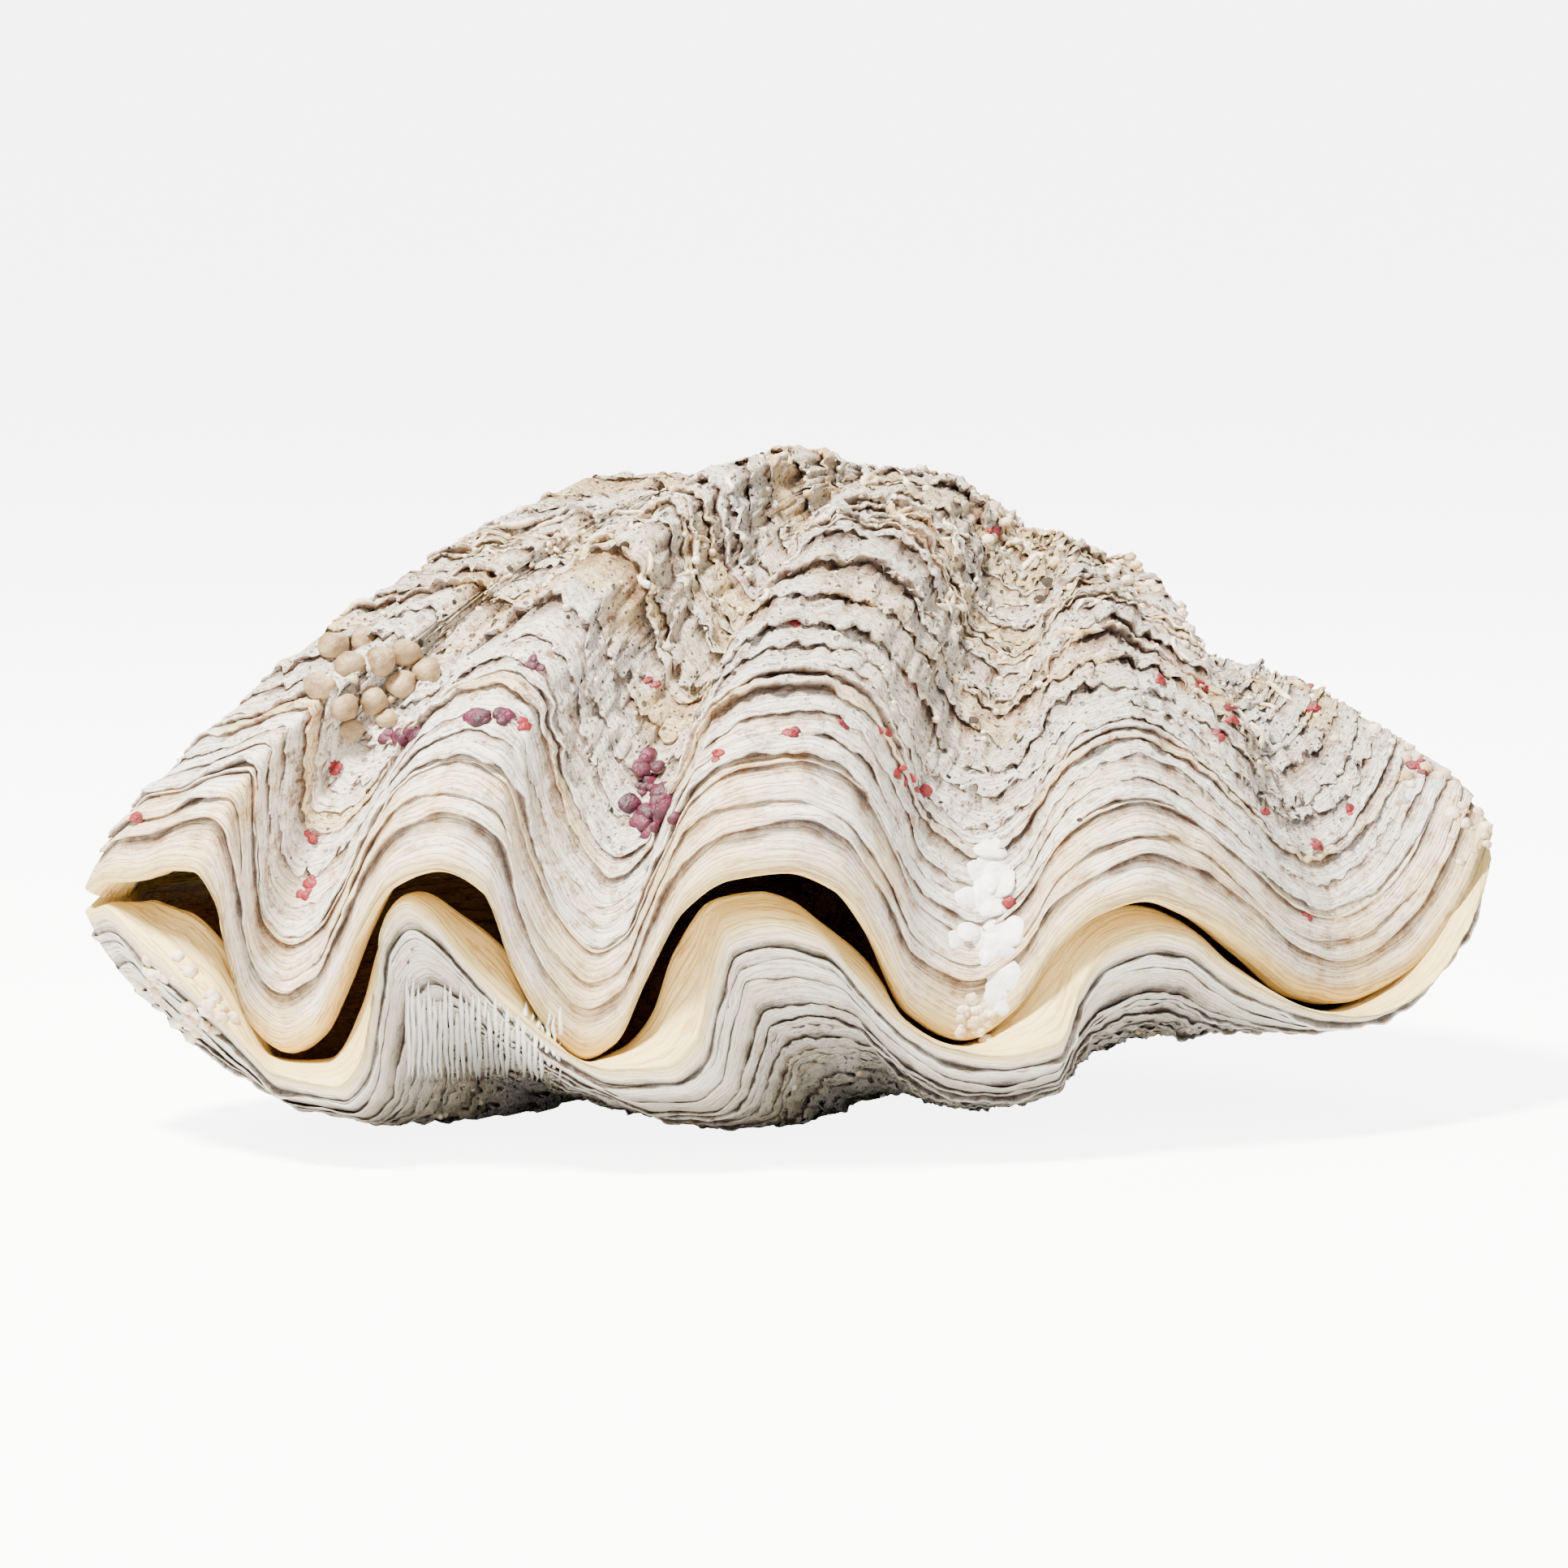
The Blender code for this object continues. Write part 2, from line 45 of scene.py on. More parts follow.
# The shell's own frame, in millimetres: hinge line along X, folded margin towards -Y.
shell = {
    "leftEndX": -155.0,
    "rightEndX": 162.0,
    "frontY": -95.0,
    "frontX": -45.0,
    "leftEndY": -42.0,
    "rightEndY": 8.0,
    "planPower": 1.75,
    "hinge": np.array([67.0, 91.0, 0.0]),
    "foldLean": 0.22,
    "waveMiddle": 8.0,
    "lipDepth": 10.0,
    "backLipDepth": 7.0,
    "lipDrop": 3.0,
    "valveGap": 1.3,
    "bendWidth": 0.2,
    "foldHalfHeight": 22.0,  # from the middle of the wave to a full crest
    "backCrest": 0.4,
    "endBlend": 1.5,  # knots over which the back margin takes the front's height
    "restTilt": math.radians(13.0),
    "restShift": np.array([-3.5, -1.449, 58.543]),
    # (x, height) of the outer margins and of the lower valve's inner rim
    "upperWave": [
        (-155, 8), (-150, 15), (-142, 19), (-134, 24), (-128, 25), (-123, 18), (-121, 4), (-117, -11),
        (-110, -16), (-103, -11), (-97, 1), (-91, 16), (-84, 28), (-73, 33), (-64, 28), (-58, 9),
        (-51, -5), (-43, -12), (-36, -8), (-29, 8), (-21, 24), (-11, 31), (0, 32), (11, 27),
        (19, 15), (28, -5), (41, -13), (51, -7), (60, 7), (69, 14), (78, 16), (90, 10),
        (104, -3), (117, -16), (130, -21), (141, -19), (151, -12), (157, -4), (162, 4),
    ],
    "lowerWave": [
        (-155, 3), (-149, 8), (-141, 4), (-132, -1), (-124, -7), (-116, -14), (-111, -18), (-97, -19),
        (-91, -12), (-88.5, 2), (-86.5, 16), (-81, 22), (-77, 20), (-67, 9), (-58, 0), (-49, -7),
        (-38, -12), (-26, -12), (-19, -7), (-16, 5), (-12.5, 16), (-4, 18), (7, 15), (16, 5),
        (25, -5), (36, -12), (50, -15), (60, -14), (65, -2), (71, 5), (80, 7), (88, 5),
        (98, -4), (109, -12), (122, -19), (134, -22), (145, -20), (154, -13), (162, -2),
    ],
    "tongueWave": [
        (-155, 5), (-150, 7), (-144, 9.5), (-136, 9.5), (-128, 5), (-123, -4), (-115, -21), (-102, -19),
        (-94, -4), (-91, 7), (-88, 16), (-84, 21), (-80, 22), (-71, 17.5), (-62, 11), (-54, -3),
        (-44, -16), (-35, -13), (-28, -5), (-23, 10), (-15, 21), (-4, 22.5), (3, 20), (9, 15),
        (19, 6), (30, -10), (42, -17), (54, -8), (63, 6), (68, 8.5), (77, 10.8), (90, 6.5),
        (104, -8), (130, -25), (151, -16), (162, 0),
    ],
    "backMargin": [
        (162, 8, 2), (158, 27, 3), (143, 47, 3), (120, 64, 2), (94, 78, 1), (67, 84, 0),
        (38, 76, 1), (-2, 58, 3), (-48, 34, 4), (-92, 10, 3), (-128, -10, 3), (-148, -25, 5), (-155, -42, 8),
    ],
}

# How each fold grew back from the margin: (x on the margin, shrink rate, bend, sideways rate, bend).
growth = {
    "upper": [
        (-155, 0.58, 0.23, 0.92, 0.09), (-132, 0.76, 0.03, 1.03, 0.03), (-110, 0.86, 0.01, 1.12, 0.38),
        (-76, 0.89, 0.04, 1.17, 0.18), (-42, 0.93, 0.18, 1.05, 0.22), (4, 1.03, 0.02, 1.22, 0.17),
        (44, 0.98, 0.03, 1.30, 0.18), (86, 1.15, -0.06, 1.23, 0.12), (108, 1.02, 0.08, 1.12, 0.19),
        (134, 1.13, 0.04, 1.18, 0.01), (162, 1.46, -0.17, 1.33, -0.03),
    ],
    "lower": [
        (-155, 1.20, 0.31, 1.01, 0.14), (-118, 1.20, 0.00, 1.04, 0.28), (-76, 0.84, -0.38, 1.05, 0.18),
        (-42, 0.98, -0.38, 1.12, 0.01), (4, 0.89, -0.32, 1.15, -0.03), (44, 0.97, -0.24, 1.07, 0.05),
        (86, 1.00, -0.19, 1.01, 0.09), (134, 1.21, -0.24, 1.01, 0.06), (162, 1.21, -0.16, 1.00, 0.12),
    ],
    # the upper valve's first valley fills with age: (x, height) and the growth of the filled margin
    "filledWave": [(-155, 8), (-142, 19), (-132, 24), (-100, 24), (-73, 33)],
    "filledGrowth": [
        (-155, 0.58, 0.23, 0.92, 0.09), (-132, 0.80, 0.03, 1.05, 0.03), (-76, 0.89, 0.04, 1.17, 0.18),
    ],
    "fillShare": 0.85,
    "fillAges": (0.10, 0.42),
    "foldsSink": 0.55,  # the lower folds sink into its belly
    "foldsSinkBy": 0.5,
    "plainZ": {"upper": 12.0, "lower": -4.0},
    "plainAges": (0.70, 1.60),
    "plainGrowth": {"upper": (1.00, 0.0, 1.18, 0.05), "lower": (1.00, -0.1, 1.12, 0.05)},
    "oldest": 2.10,
    "bowlAges": [0.02, 0.07, 0.14, 0.25, 0.40, 0.60, 0.85, 1.12, 1.40],
    "bowlCentre": np.array([5.0, -12.0]),
    "bowlScale": 0.80,
    "bowlRise": 4.0,
    "foldsFadeBy": 0.40,
    "thinnestWall": 3.0,
    "thinNear": 70.0,  # thinner within this distance of the hinge
    "wallFrom": 0.05,  # age from which the bowl is pushed clear of the outside
    "wallPushes": 3,
    "wallSkin": (2.2, 50),  # oldest ring of the outside, and how many rings it is measured on
    "ageStep": 0.004,  # either side, for the outside's direction
}


def steadyCurve(knots, x):
    # Monotone cubic through the knots
    kx = np.array([k[0] for k in knots], float)
    kz = np.array([k[1] for k in knots], float)
    step = np.diff(kx)
    slope = np.diff(kz) / step
    before, after = slope[:-1], slope[1:]
    steady = before * after > 0
    wideA = 2 * step[1:] + step[:-1]
    wideB = step[1:] + 2 * step[:-1]
    inner = np.where(steady, (wideA + wideB) / (wideA / np.where(steady, before, 1)
                                                + wideB / np.where(steady, after, 1)), 0)
    tangent = np.concatenate([[slope[0]], inner, [slope[-1]]])
    i = np.clip(np.searchsorted(kx, x) - 1, 0, len(step) - 1)
    t = (x - kx[i]) / step[i]
    return (kz[i] * (2 * t**3 - 3 * t**2 + 1) + kz[i + 1] * (3 * t**2 - 2 * t**3)
            + tangent[i] * step[i] * (t**3 - 2 * t**2 + t)
            + tangent[i + 1] * step[i] * (t**3 - t**2))


def smoothStep(t):
    t = np.clip(t, 0, 1)
    return t * t * (3 - 2 * t)


def between(value, start, end):
    return smoothStep((value - start) / (end - start))


def frontY(x):
    left = x < shell["frontX"]
    endX = np.where(left, shell["leftEndX"], shell["rightEndX"])
    endY = np.where(left, shell["leftEndY"], shell["rightEndY"])
    t = np.clip((x - shell["frontX"]) / (endX - shell["frontX"]), 0, 1)
    power = shell["planPower"]
    return endY + (shell["frontY"] - endY) * (1 - t**power) ** (1 / power)


def inward(plan):
    along = np.gradient(plan, axis=0)
    across = np.stack([-along[:, 1], along[:, 0]], axis=1)
    return across / np.linalg.norm(across, axis=1, keepdims=True)


def runOf(points):
    return np.concatenate([[0], np.cumsum(np.linalg.norm(np.diff(points, axis=0), axis=1))])


def evenly(points, count):
    run = runOf(points)
    return np.interp(np.linspace(0, run[-1], count, endpoint=False), run, np.arange(len(points)))


def take(values, at):
    return np.stack([np.interp(at, np.arange(len(values)), v) for v in values.T], axis=1)


def margins(name, frontColumns, backColumns, samples=6000):
    # Outer and inner edge loops of a valve's lip, with what its columns need to know
    side = 1 if name == "upper" else -1
    middle = (shell["leftEndX"] + shell["rightEndX"]) / 2
    half = (shell["rightEndX"] - shell["leftEndX"]) / 2
    x = middle + half * np.sin(np.linspace(-math.pi / 2, math.pi / 2, samples))
    wave = steadyCurve(shell[name + "Wave"], x)
    edge = steadyCurve(shell["upperWave"], x) - shell["lipDrop"]
    if name == "lower":
        edge = np.minimum(steadyCurve(shell["tongueWave"], x), edge - shell["valveGap"])
    lean = side * shell["foldLean"] * (wave - shell["waveMiddle"])
    outer = np.stack([x, frontY(x) - lean, wave], axis=1)
    plan = np.stack([x, frontY(x)], axis=1)
    inner = np.concatenate([plan + shell["lipDepth"] * inward(plan), edge[:, None]], axis=1)
    halfFold = shell["foldHalfHeight"]
    crest = np.clip((side * (wave - shell["waveMiddle"]) + halfFold) / (2 * halfFold), 0, 1)

    knots = np.array(shell["backMargin"], float)
    last = len(knots) - 1
    along = np.linspace(0, last, samples)
    back = np.stack([steadyCurve(list(enumerate(knots[:, i])), along) for i in range(3)], axis=1)
    share = np.minimum(along, last - along)
    depth = shell["backLipDepth"] + (shell["lipDepth"] - shell["backLipDepth"]) * (1 - smoothStep(share))
    backInner = back.copy()
    backInner[:, :2] += depth[:, None] * inward(back[:, :2])
    drop = 0 if name == "upper" else shell["valveGap"]
    back[:, 2] -= drop
    backInner[:, 2] -= drop
    ends = 1 - smoothStep(share / shell["endBlend"])
    first = along < last / 2
    back[:, 2] += ends * (np.where(first, outer[-1, 2], outer[0, 2]) - back[:, 2])
    backInner[:, 2] += ends * (np.where(first, inner[-1, 2], inner[0, 2]) - backInner[:, 2])

    frontAt, backAt = evenly(outer, frontColumns), evenly(back, backColumns)
    loop = np.concatenate([take(outer, frontAt), take(back, backAt)])
    innerLoop = np.concatenate([take(inner, frontAt), take(backInner, backAt)])
    frontCrest = np.interp(frontAt, np.arange(samples), crest)
    gone = runOf(np.concatenate([loop, loop[:1]]))
    frontRun = gone[frontColumns]
    there = gone[:-1]
    # the back runs the other way, so that there is no jump at the seam
    backRun = frontRun * (1 - (there - frontRun) / (gone[-1] - frontRun))
    return {
        "name": name,
        "side": side,
        "outer": loop,
        "inner": innerLoop,
        "crest": np.concatenate([frontCrest, np.full(backColumns, shell["backCrest"])]),
        "along": np.where(there <= frontRun, there, backRun),
        "front": frontColumns,
        "params": rates(growth[name], loop[:, 0]),
    }


def ramp(pastBend):
    return 0.5 * (pastBend + np.sqrt(pastBend**2 + shell["bendWidth"] ** 2))


def shrink(rate, bend, age):
    return np.exp(-rate * (ramp(age - bend) - ramp(-bend)))


def grown(form, loop, age, params=None):
    # the loop as it lay at this age angle (one for all columns, or one for each)
    rate, bend, sideRate, sideBend = params or form["params"]
    size = shrink(rate, bend, age)
    x, y, z = (loop - shell["hinge"]).T
    turnedY = y * np.cos(age) + form["side"] * z * np.sin(age)
    turnedZ = -form["side"] * y * np.sin(age) + z * np.cos(age)
    turned = np.stack([x * shrink(sideRate, sideBend, age), turnedY * size, turnedZ * size], axis=1)
    return shell["hinge"] + turned


def rates(table, x):
    table = np.array(table, float)
    return [steadyCurve(table[:, [0, i]], np.clip(x, table[0, 0], table[-1, 0])) for i in range(1, 5)]


def skinAt(form, age):
    # the outside of a valve at this age, before ledges and lumps
    outer, front, name = form["outer"], form["front"], form["name"]
    x = outer[:front, 0]
    age = np.broadcast_to(age, len(outer)).astype(float)
    plain = outer.copy()
    plain[:front, 1] = frontY(x)
    plain[:front, 2] = growth["plainZ"][name]
    if name == "upper":
        filledTo = growth["filledWave"][-1][0]
        filled = steadyCurve(growth["filledWave"], np.minimum(x, filledTo))
        even = outer.copy()
        even[:front, 2] = np.maximum(outer[:front, 2], filled)
        even[:front, 1] = frontY(x) - shell["foldLean"] * (even[:front, 2] - shell["waveMiddle"])
        first = np.arange(len(outer)) < np.searchsorted(x, filledTo)
        share = np.where(first, growth["fillShare"] * between(age, *growth["fillAges"]), 0)[:, None]
        ring = grown(form, outer, age) * (1 - share)
        ring = ring + grown(form, even, age, rates(growth["filledGrowth"], outer[:, 0])) * share
    else:
        share = growth["foldsSink"] * smoothStep(age / growth["foldsSinkBy"])[:, None]
        ring = grown(form, outer * (1 - share) + plain * share, age)
    old = between(age, *growth["plainAges"])[:, None]
    return ring * (1 - old) + grown(form, plain, age, growth["plainGrowth"][name]) * old


def skinNormal(form, age):
    here = skinAt(form, age)
    around = np.roll(here, -1, axis=0) - np.roll(here, 1, axis=0)
    ageing = skinAt(form, age + growth["ageStep"]) - skinAt(form, age - growth["ageStep"])
    normal = np.cross(around, ageing) * form["side"]
    return normal / np.maximum(np.linalg.norm(normal, axis=1, keepdims=True), 1e-9)


def noiseAt(points, size, seed=0.0):
    away = Vector((seed * 13.7, -seed * 7.1, seed * 3.3))
    return np.array([noise.noise(Vector(p) / size + away) for p in points])


def lineNoise(form, size, seed):
    # Noise along a growth line, the same on both sides of the seam
    return np.array([noise.noise(Vector((s / size, seed * 5.3, seed * 2.1))) for s in form["along"]])


# Growth ledges: an older layer's free edge stands out over the newer layer below it.
ledges = {
    "upper": {
        "count": 34,
        "first": 0.060,  # age of the first ledge
        "gap": 0.0190,
        "gapGrows": 0.0009,
        "height": 2.7,
        "flank": 0.30,  # share of the height in the valleys
        "seed": 5,
    },
    "lower": {
        "count": 24,
        "first": 0.040,
        "gap": 0.0220,
        "gapGrows": 0.0018,
        "height": 1.5,
        "flank": 0.45,
        "seed": 8,
    },
    "flankPower": 1.5,
    "unevenGap": (0.35, 1.9),
    "unevenHeight": (0.4, 1.6),
    # rows of one ledge: (place in gaps from its edge, height, dirt and painted shade in the crevice under the
    # ledge)
    "rows": [
        (0.12, 0.00, 1.0), (-0.12, 0.72, 0.6), (-0.06, 1.00, 0.0), (0.36, 0.70, 0.1), (0.76, 0.28, 0.45),
    ],
    # noise along a ledge: (share, size in mm, first seed)
    "wobble": [(0.62, 42, 1), (0.279, 13, 40)],
    "ragged": (0.26, 3.1, 80),
    "raggedAges": (0.04, 0.19),
    "whole": 0.62,  # share of the height that stands, before the noise
    "broken": [(0.55, 19, 120), (0.35, 5, 160)],
    "wholeLimits": (0.08, 1.3),
    "leastDirtAndShade": 0.2,
    "swell": 0.15,  # rise before the first ledge
    "oldLoss": 0.35,  # of the height, with age
    "oldLossAges": (0.5, 1.0),
    "oldRows": 12,  # past the last ledge
    "oldDirt": 0.3,
    # shades of the layers, from 0 for chalk to 1 for cream
    "rimBands": [0.9, 0.7],
    "oldBand": 0.5,
    "insideBand": 0.8,
}
relief = {
    "lump": 1.3,
    "lumpSize": 17.0,
    "lumpAges": (0.25, 0.55),
    "lumpFadeFrom": 0.8,
    "lumpFade": 0.8,
    "knob": 1.9,
    "knobSize": 5.0,
    "grit": 1.5,
    "gritSize": 2.2,
    "cleft": 0.9,  # sharp little clefts between rounded lumps
    "cleftSize": 3.4,
    "cleftSharpness": 9.0,
    "worn": (0.10, 0.40),  # age from which the surface is eroded, and where it is fully so
    "wornLeast": 0.12,
}
lip = {"rows": 10, "bulge": 1.7, "band": 0.28, "bandSize": 30, "bandSeed": 200, "ageStep": 0.012}


def alongLedge(form, noises, k):
    return sum(share * lineNoise(form, size, k + seed) for share, size, seed in noises)


def outsideRows(form):
    # Rows of the outside from the margin to the oldest shell, with their dirt and painted shade in the
    # crevices, age and layer tone
    kind = ledges[form["name"]]
    flat = np.zeros(len(form["outer"]))
    rows, dirtAndShade, ages = [], [], []

    def addRow(age, height, dirtAndShadeHere):
        age = flat + age
        point = skinAt(form, age)
        worn = relief["wornLeast"] + (1 - relief["wornLeast"]) * between(age, *relief["worn"])
        faded = np.exp(-relief["lumpFade"] * np.maximum(age - relief["lumpFadeFrom"], 0))
        old = between(age, *relief["lumpAges"]) * faded
        cleft = np.exp(-relief["cleftSharpness"] * np.abs(noiseAt(point, relief["cleftSize"], 3)))
        bumps = relief["lump"] * old * noiseAt(point, relief["lumpSize"])
        bumps += relief["knob"] * worn * noiseAt(point, relief["knobSize"], 1)
        bumps += relief["grit"] * worn * noiseAt(point, relief["gritSize"], 2)
        bumps -= relief["cleft"] * worn * cleft
        rows.append(point + skinNormal(form, age) * (height + bumps)[:, None])
        dirtAndShade.append(flat + dirtAndShadeHere)
        ages.append(age)

    addRow(0.0, flat, 0.0)
    addRow(0.5 * kind["first"], ledges["swell"] * form["crest"], 0.0)
    edge, steady = kind["first"], kind["gap"]
    chance = random.Random(kind["seed"])
    bands = list(ledges["rimBands"])
    for k in range(kind["count"]):
        gap = steady * chance.uniform(*ledges["unevenGap"])
        thick = chance.uniform(*ledges["unevenHeight"])
        bands += [chance.random()] * len(ledges["rows"])
        ragged = alongLedge(form, [ledges["ragged"]], k) * between(edge, *ledges["raggedAges"])
        here = edge + gap * (alongLedge(form, ledges["wobble"], k) + ragged)
        whole = ledges["whole"] + alongLedge(form, ledges["broken"], k)
        height = kind["flank"] + (1 - kind["flank"]) * form["crest"] ** ledges["flankPower"]
        height = kind["height"] * height * np.clip(whole, *ledges["wholeLimits"]) * thick
        height = height * (1 - ledges["oldLoss"] * between(edge, *ledges["oldLossAges"]))
        for place, rise, dirtAndShadeHere in ledges["rows"]:
            dirtAndShadeShare = np.clip(whole + ledges["leastDirtAndShade"], ledges["leastDirtAndShade"], 1)
            addRow(here + gap * place, height * rise, dirtAndShadeHere * dirtAndShadeShare)
        edge += gap
        steady += kind["gapGrows"]
    for age in np.linspace(edge, growth["oldest"], ledges["oldRows"])[1:]:
        addRow(age, flat, ledges["oldDirt"])
        bands.append(ledges["oldBand"])
    return rows, dirtAndShade, ages, bands


def lipRows(form):
    # Rows across the lip from its inner edge to its outer edge, rounded and finely layered
    forward = skinAt(form, 0.0) - skinAt(form, lip["ageStep"])
    forward /= np.linalg.norm(forward, axis=1, keepdims=True)
    rows = []
    for i in range(lip["rows"]):
        t = (i + 0.5) / lip["rows"]  # 0 at the inner edge
        bulge = lip["bulge"] * math.sin(math.pi * t) * t
        band = lip["band"] * lineNoise(form, lip["bandSize"], i + lip["bandSeed"]) * math.sin(math.pi * t)
        rows.append(form["inner"] * (1 - t) + form["outer"] * t + forward * (bulge + band)[:, None])
    return rows


def bowlRows(form):
    # Rows of the inside from the deepest part of the bowl to the lip, clear of the outside
    oval = form["outer"].copy()
    oval[:, :2] = growth["bowlCentre"] + growth["bowlScale"] * (oval[:, :2] - growth["bowlCentre"])
    oval[:, 2] = growth["bowlRise"] * form["side"]
    columns = len(oval)
    oldest, rings = growth["wallSkin"]
    skin = [skinAt(form, age) for age in np.linspace(0, oldest, rings)]
    quads = []
    for r in range(rings - 1):
        for i in range(0, columns, 2):
            here = r * columns + i
            beside = r * columns + (i + 2) % columns
            quads.append((here, beside, beside + columns, here + columns))
    tree = BVHTree.FromPolygons([Vector(p) for p in np.concatenate(skin)], quads)
    rows = []
    for age in growth["bowlAges"]:
        fade = smoothStep(age / growth["foldsFadeBy"])
        row = grown(form, form["inner"], age) * (1 - fade)
        row = row + grown(form, oval, age, growth["plainGrowth"][form["name"]]) * fade
        pushes = growth["wallPushes"] if age > growth["wallFrom"] else 0
        for i in range(columns):
            for _ in range(pushes):
                spot, normal, _, _ = tree.find_nearest(Vector(row[i]))
                wall = -form["side"] * normal.dot(Vector(row[i]) - spot)
                away = np.linalg.norm(row[i] - shell["hinge"]) / growth["thinNear"]
                need = growth["thinnestWall"] * min(away, 1) ** 2
                if wall >= need:
                    break
                row[i] = row[i] - form["side"] * (need - wall) * np.array(normal)
        rows.append(row)
    return rows[::-1]


restTurn = Matrix.Rotation(shell["restTilt"], 3, "X")


def layDown(points):
    # From the shell's own frame to where it lies on the floor, in metres
    return (np.asarray(points) @ np.array(restTurn).T + shell["restShift"]) * mm


def sewnGrid(name, rings, values):
    # A closed mesh: a grid whose rows are the rings, sewn along its seam and at its two poles
    rows, columns = rings.shape[:2]
    bm = bmesh.new()
    bmesh.ops.create_grid(bm, x_segments=columns, y_segments=rows - 1, size=0.5)
    layers = [(bm.verts.layers.float.new(key), value.tolist()) for key, value in values.items()]
    places = rings.tolist()
    for vert in bm.verts:
        column = round((vert.co.x + 0.5) * columns) % columns
        row = round((vert.co.y + 0.5) * (rows - 1))
        vert.co = places[row][column]
        for layer, value in layers:
            vert[layer] = value[row][column]
    bmesh.ops.remove_doubles(bm, verts=bm.verts, dist=1e-7)
    bmesh.ops.recalc_face_normals(bm, faces=bm.faces)
    return finishPiece(name, bm)


def finishPiece(name, bm):
    mesh = bpy.data.meshes.new(name)
    bm.to_mesh(mesh)
    bm.free()
    mesh.shade_smooth()
    obj = bpy.data.objects.new(name, mesh)
    bpy.context.scene.collection.objects.link(obj)
    return obj


# The meshes, and the values that their materials read: mm of growth from the margin, below 0 inside.
meshes = {
    "columns": {"upper": (405, 70), "lower": (480, 90)},  # along the front and along the back
    "mmPerAge": 170.0,
    "oldestMm": 500.0,
    "lipMm": 8.0,
    "bowlMm": 10.0,
    "bowlStepMm": 3.0,
    "deepestMm": 60.0,
    "lipEnds": 0.03,  # age at which the lip's colour has gone
}


def buildValve(name, pieceName):
    form = margins(name, *meshes["columns"][name])
    outside, dirtAndShade, ages, bands = outsideRows(form)
    rim = lipRows(form)
    bowl = bowlRows(form)
    count = len(form["along"])
    inside = 1 + len(bowl) + len(rim)
    flat = np.zeros(count)
    rings = [np.repeat(bowl[0].mean(axis=0)[None], count, axis=0)] + bowl + rim + outside
    rings.append(np.repeat(outside[-1].mean(axis=0)[None], count, axis=0))
    lipShare = [flat] * (1 + len(bowl)) + [flat + 1] * len(rim)
    lipShare += [np.clip(1 - age / meshes["lipEnds"], 0, 1) for age in ages] + [flat]
    ageMm = [flat - meshes["deepestMm"]]
    ageMm += [flat - meshes["bowlMm"] - meshes["bowlStepMm"] * i for i in range(len(bowl), 0, -1)]
    ageMm += [flat - meshes["lipMm"] * (1 - (i + 0.5) / len(rim)) for i in range(len(rim))]
    ageMm += [age * meshes["mmPerAge"] for age in ages] + [flat + meshes["oldestMm"]]
    bands = [ledges["insideBand"]] * inside + bands + [ledges["oldBand"]]
    placed = layDown(np.stack(rings))
    placed[..., 2] = np.maximum(placed[..., 2], 0)
    values = {
        "dirtAndShade": np.stack([flat] * inside + dirtAndShade + [flat]),
        "lip": np.stack(lipShare),
        "ageMm": np.stack(ageMm),
        "alongMm": np.repeat(form["along"][None], len(rings), axis=0),
        "band": np.stack([flat + band for band in bands]),
    }
    return sewnGrid(pieceName, placed, values)


print("upper valve")
upperShell = buildValve("upper", "upperValveShell")
print("lower valve")
lowerShell = buildValve("lower", "lowerValveShell")


# Node helpers
def node(tree, kind, inputs=None, **settings):
    made = tree.nodes.new(kind)
    for key, value in settings.items():
        setattr(made, key, value)
    for key, value in (inputs or {}).items():
        if isinstance(value, bpy.types.NodeSocket):
            tree.links.new(value, made.inputs[key])
        else:
            made.inputs[key].default_value = value
    return made


def mathNode(tree, operation, a, b=0.0, clamp=False):
    return node(tree, "ShaderNodeMath", {0: a, 1: b}, operation=operation, use_clamp=clamp).outputs[0]


def times(tree, a, b):
    return mathNode(tree, "MULTIPLY", a, b)


def noiseNode(tree, vector, scale, detail, roughness=0.5):
    inputs = {"Vector": vector, "Scale": scale, "Detail": detail, "Roughness": roughness}
    return node(tree, "ShaderNodeTexNoise", inputs).outputs[0]


def mixColour(tree, share, a, b):
    return node(tree, "ShaderNodeMix", {0: share, 6: a, 7: b}, data_type="RGBA").outputs[2]


def stretch(tree, value, low, high, toLow=0.0, toHigh=1.0):
    made = node(tree, "ShaderNodeMapRange", {0: value, 1: low, 2: high, 3: toLow, 4: toHigh})
    return made.outputs[0]


def colour(red, green, blue):
    # A colour picked in screen values, 0 to 255
    screen = [value / 255 for value in (red, green, blue)]
    return tuple(((v + 0.055) / 1.055) ** 2.4 if v > 0.04 else v / 12.92 for v in screen) + (1,)


def newGroup(name, inputs, outputs):
    group = bpy.data.node_groups.new(name, "ShaderNodeTree")
    for title, kind, value in inputs:
        socket = group.interface.new_socket(title, in_out="INPUT", socket_type=kind)
        socket.default_value = value
    for title, kind in outputs:
        group.interface.new_socket(title, in_out="OUTPUT", socket_type=kind)
    return group, group.nodes.new("NodeGroupInput"), group.nodes.new("NodeGroupOutput")


def attribute(tree, name):
    return node(tree, "ShaderNodeAttribute", attribute_name=name).outputs["Fac"]


# Patterns that both shells share. A noise is its scale, detail and roughness.
patterns = {
    "spacingMm": 1.2,
    "wanderAlong": 0.11,
    "wander": (0.45, 4.0, 0.6),
    "wanderBy": 4.0,
    "lineFrom": 0.1,  # of the wave's height, so that the lines are thin
    "streakAlong": 0.06,
    "streakAcross": 1.5,
    "streak": (1.0, 5.0, 0.65),
    "pitsPerMetre": 260.0,
    "pitSize": 0.22,
    "pitsHowMany": 0.4,
    "pitEdge": 12.0,
}


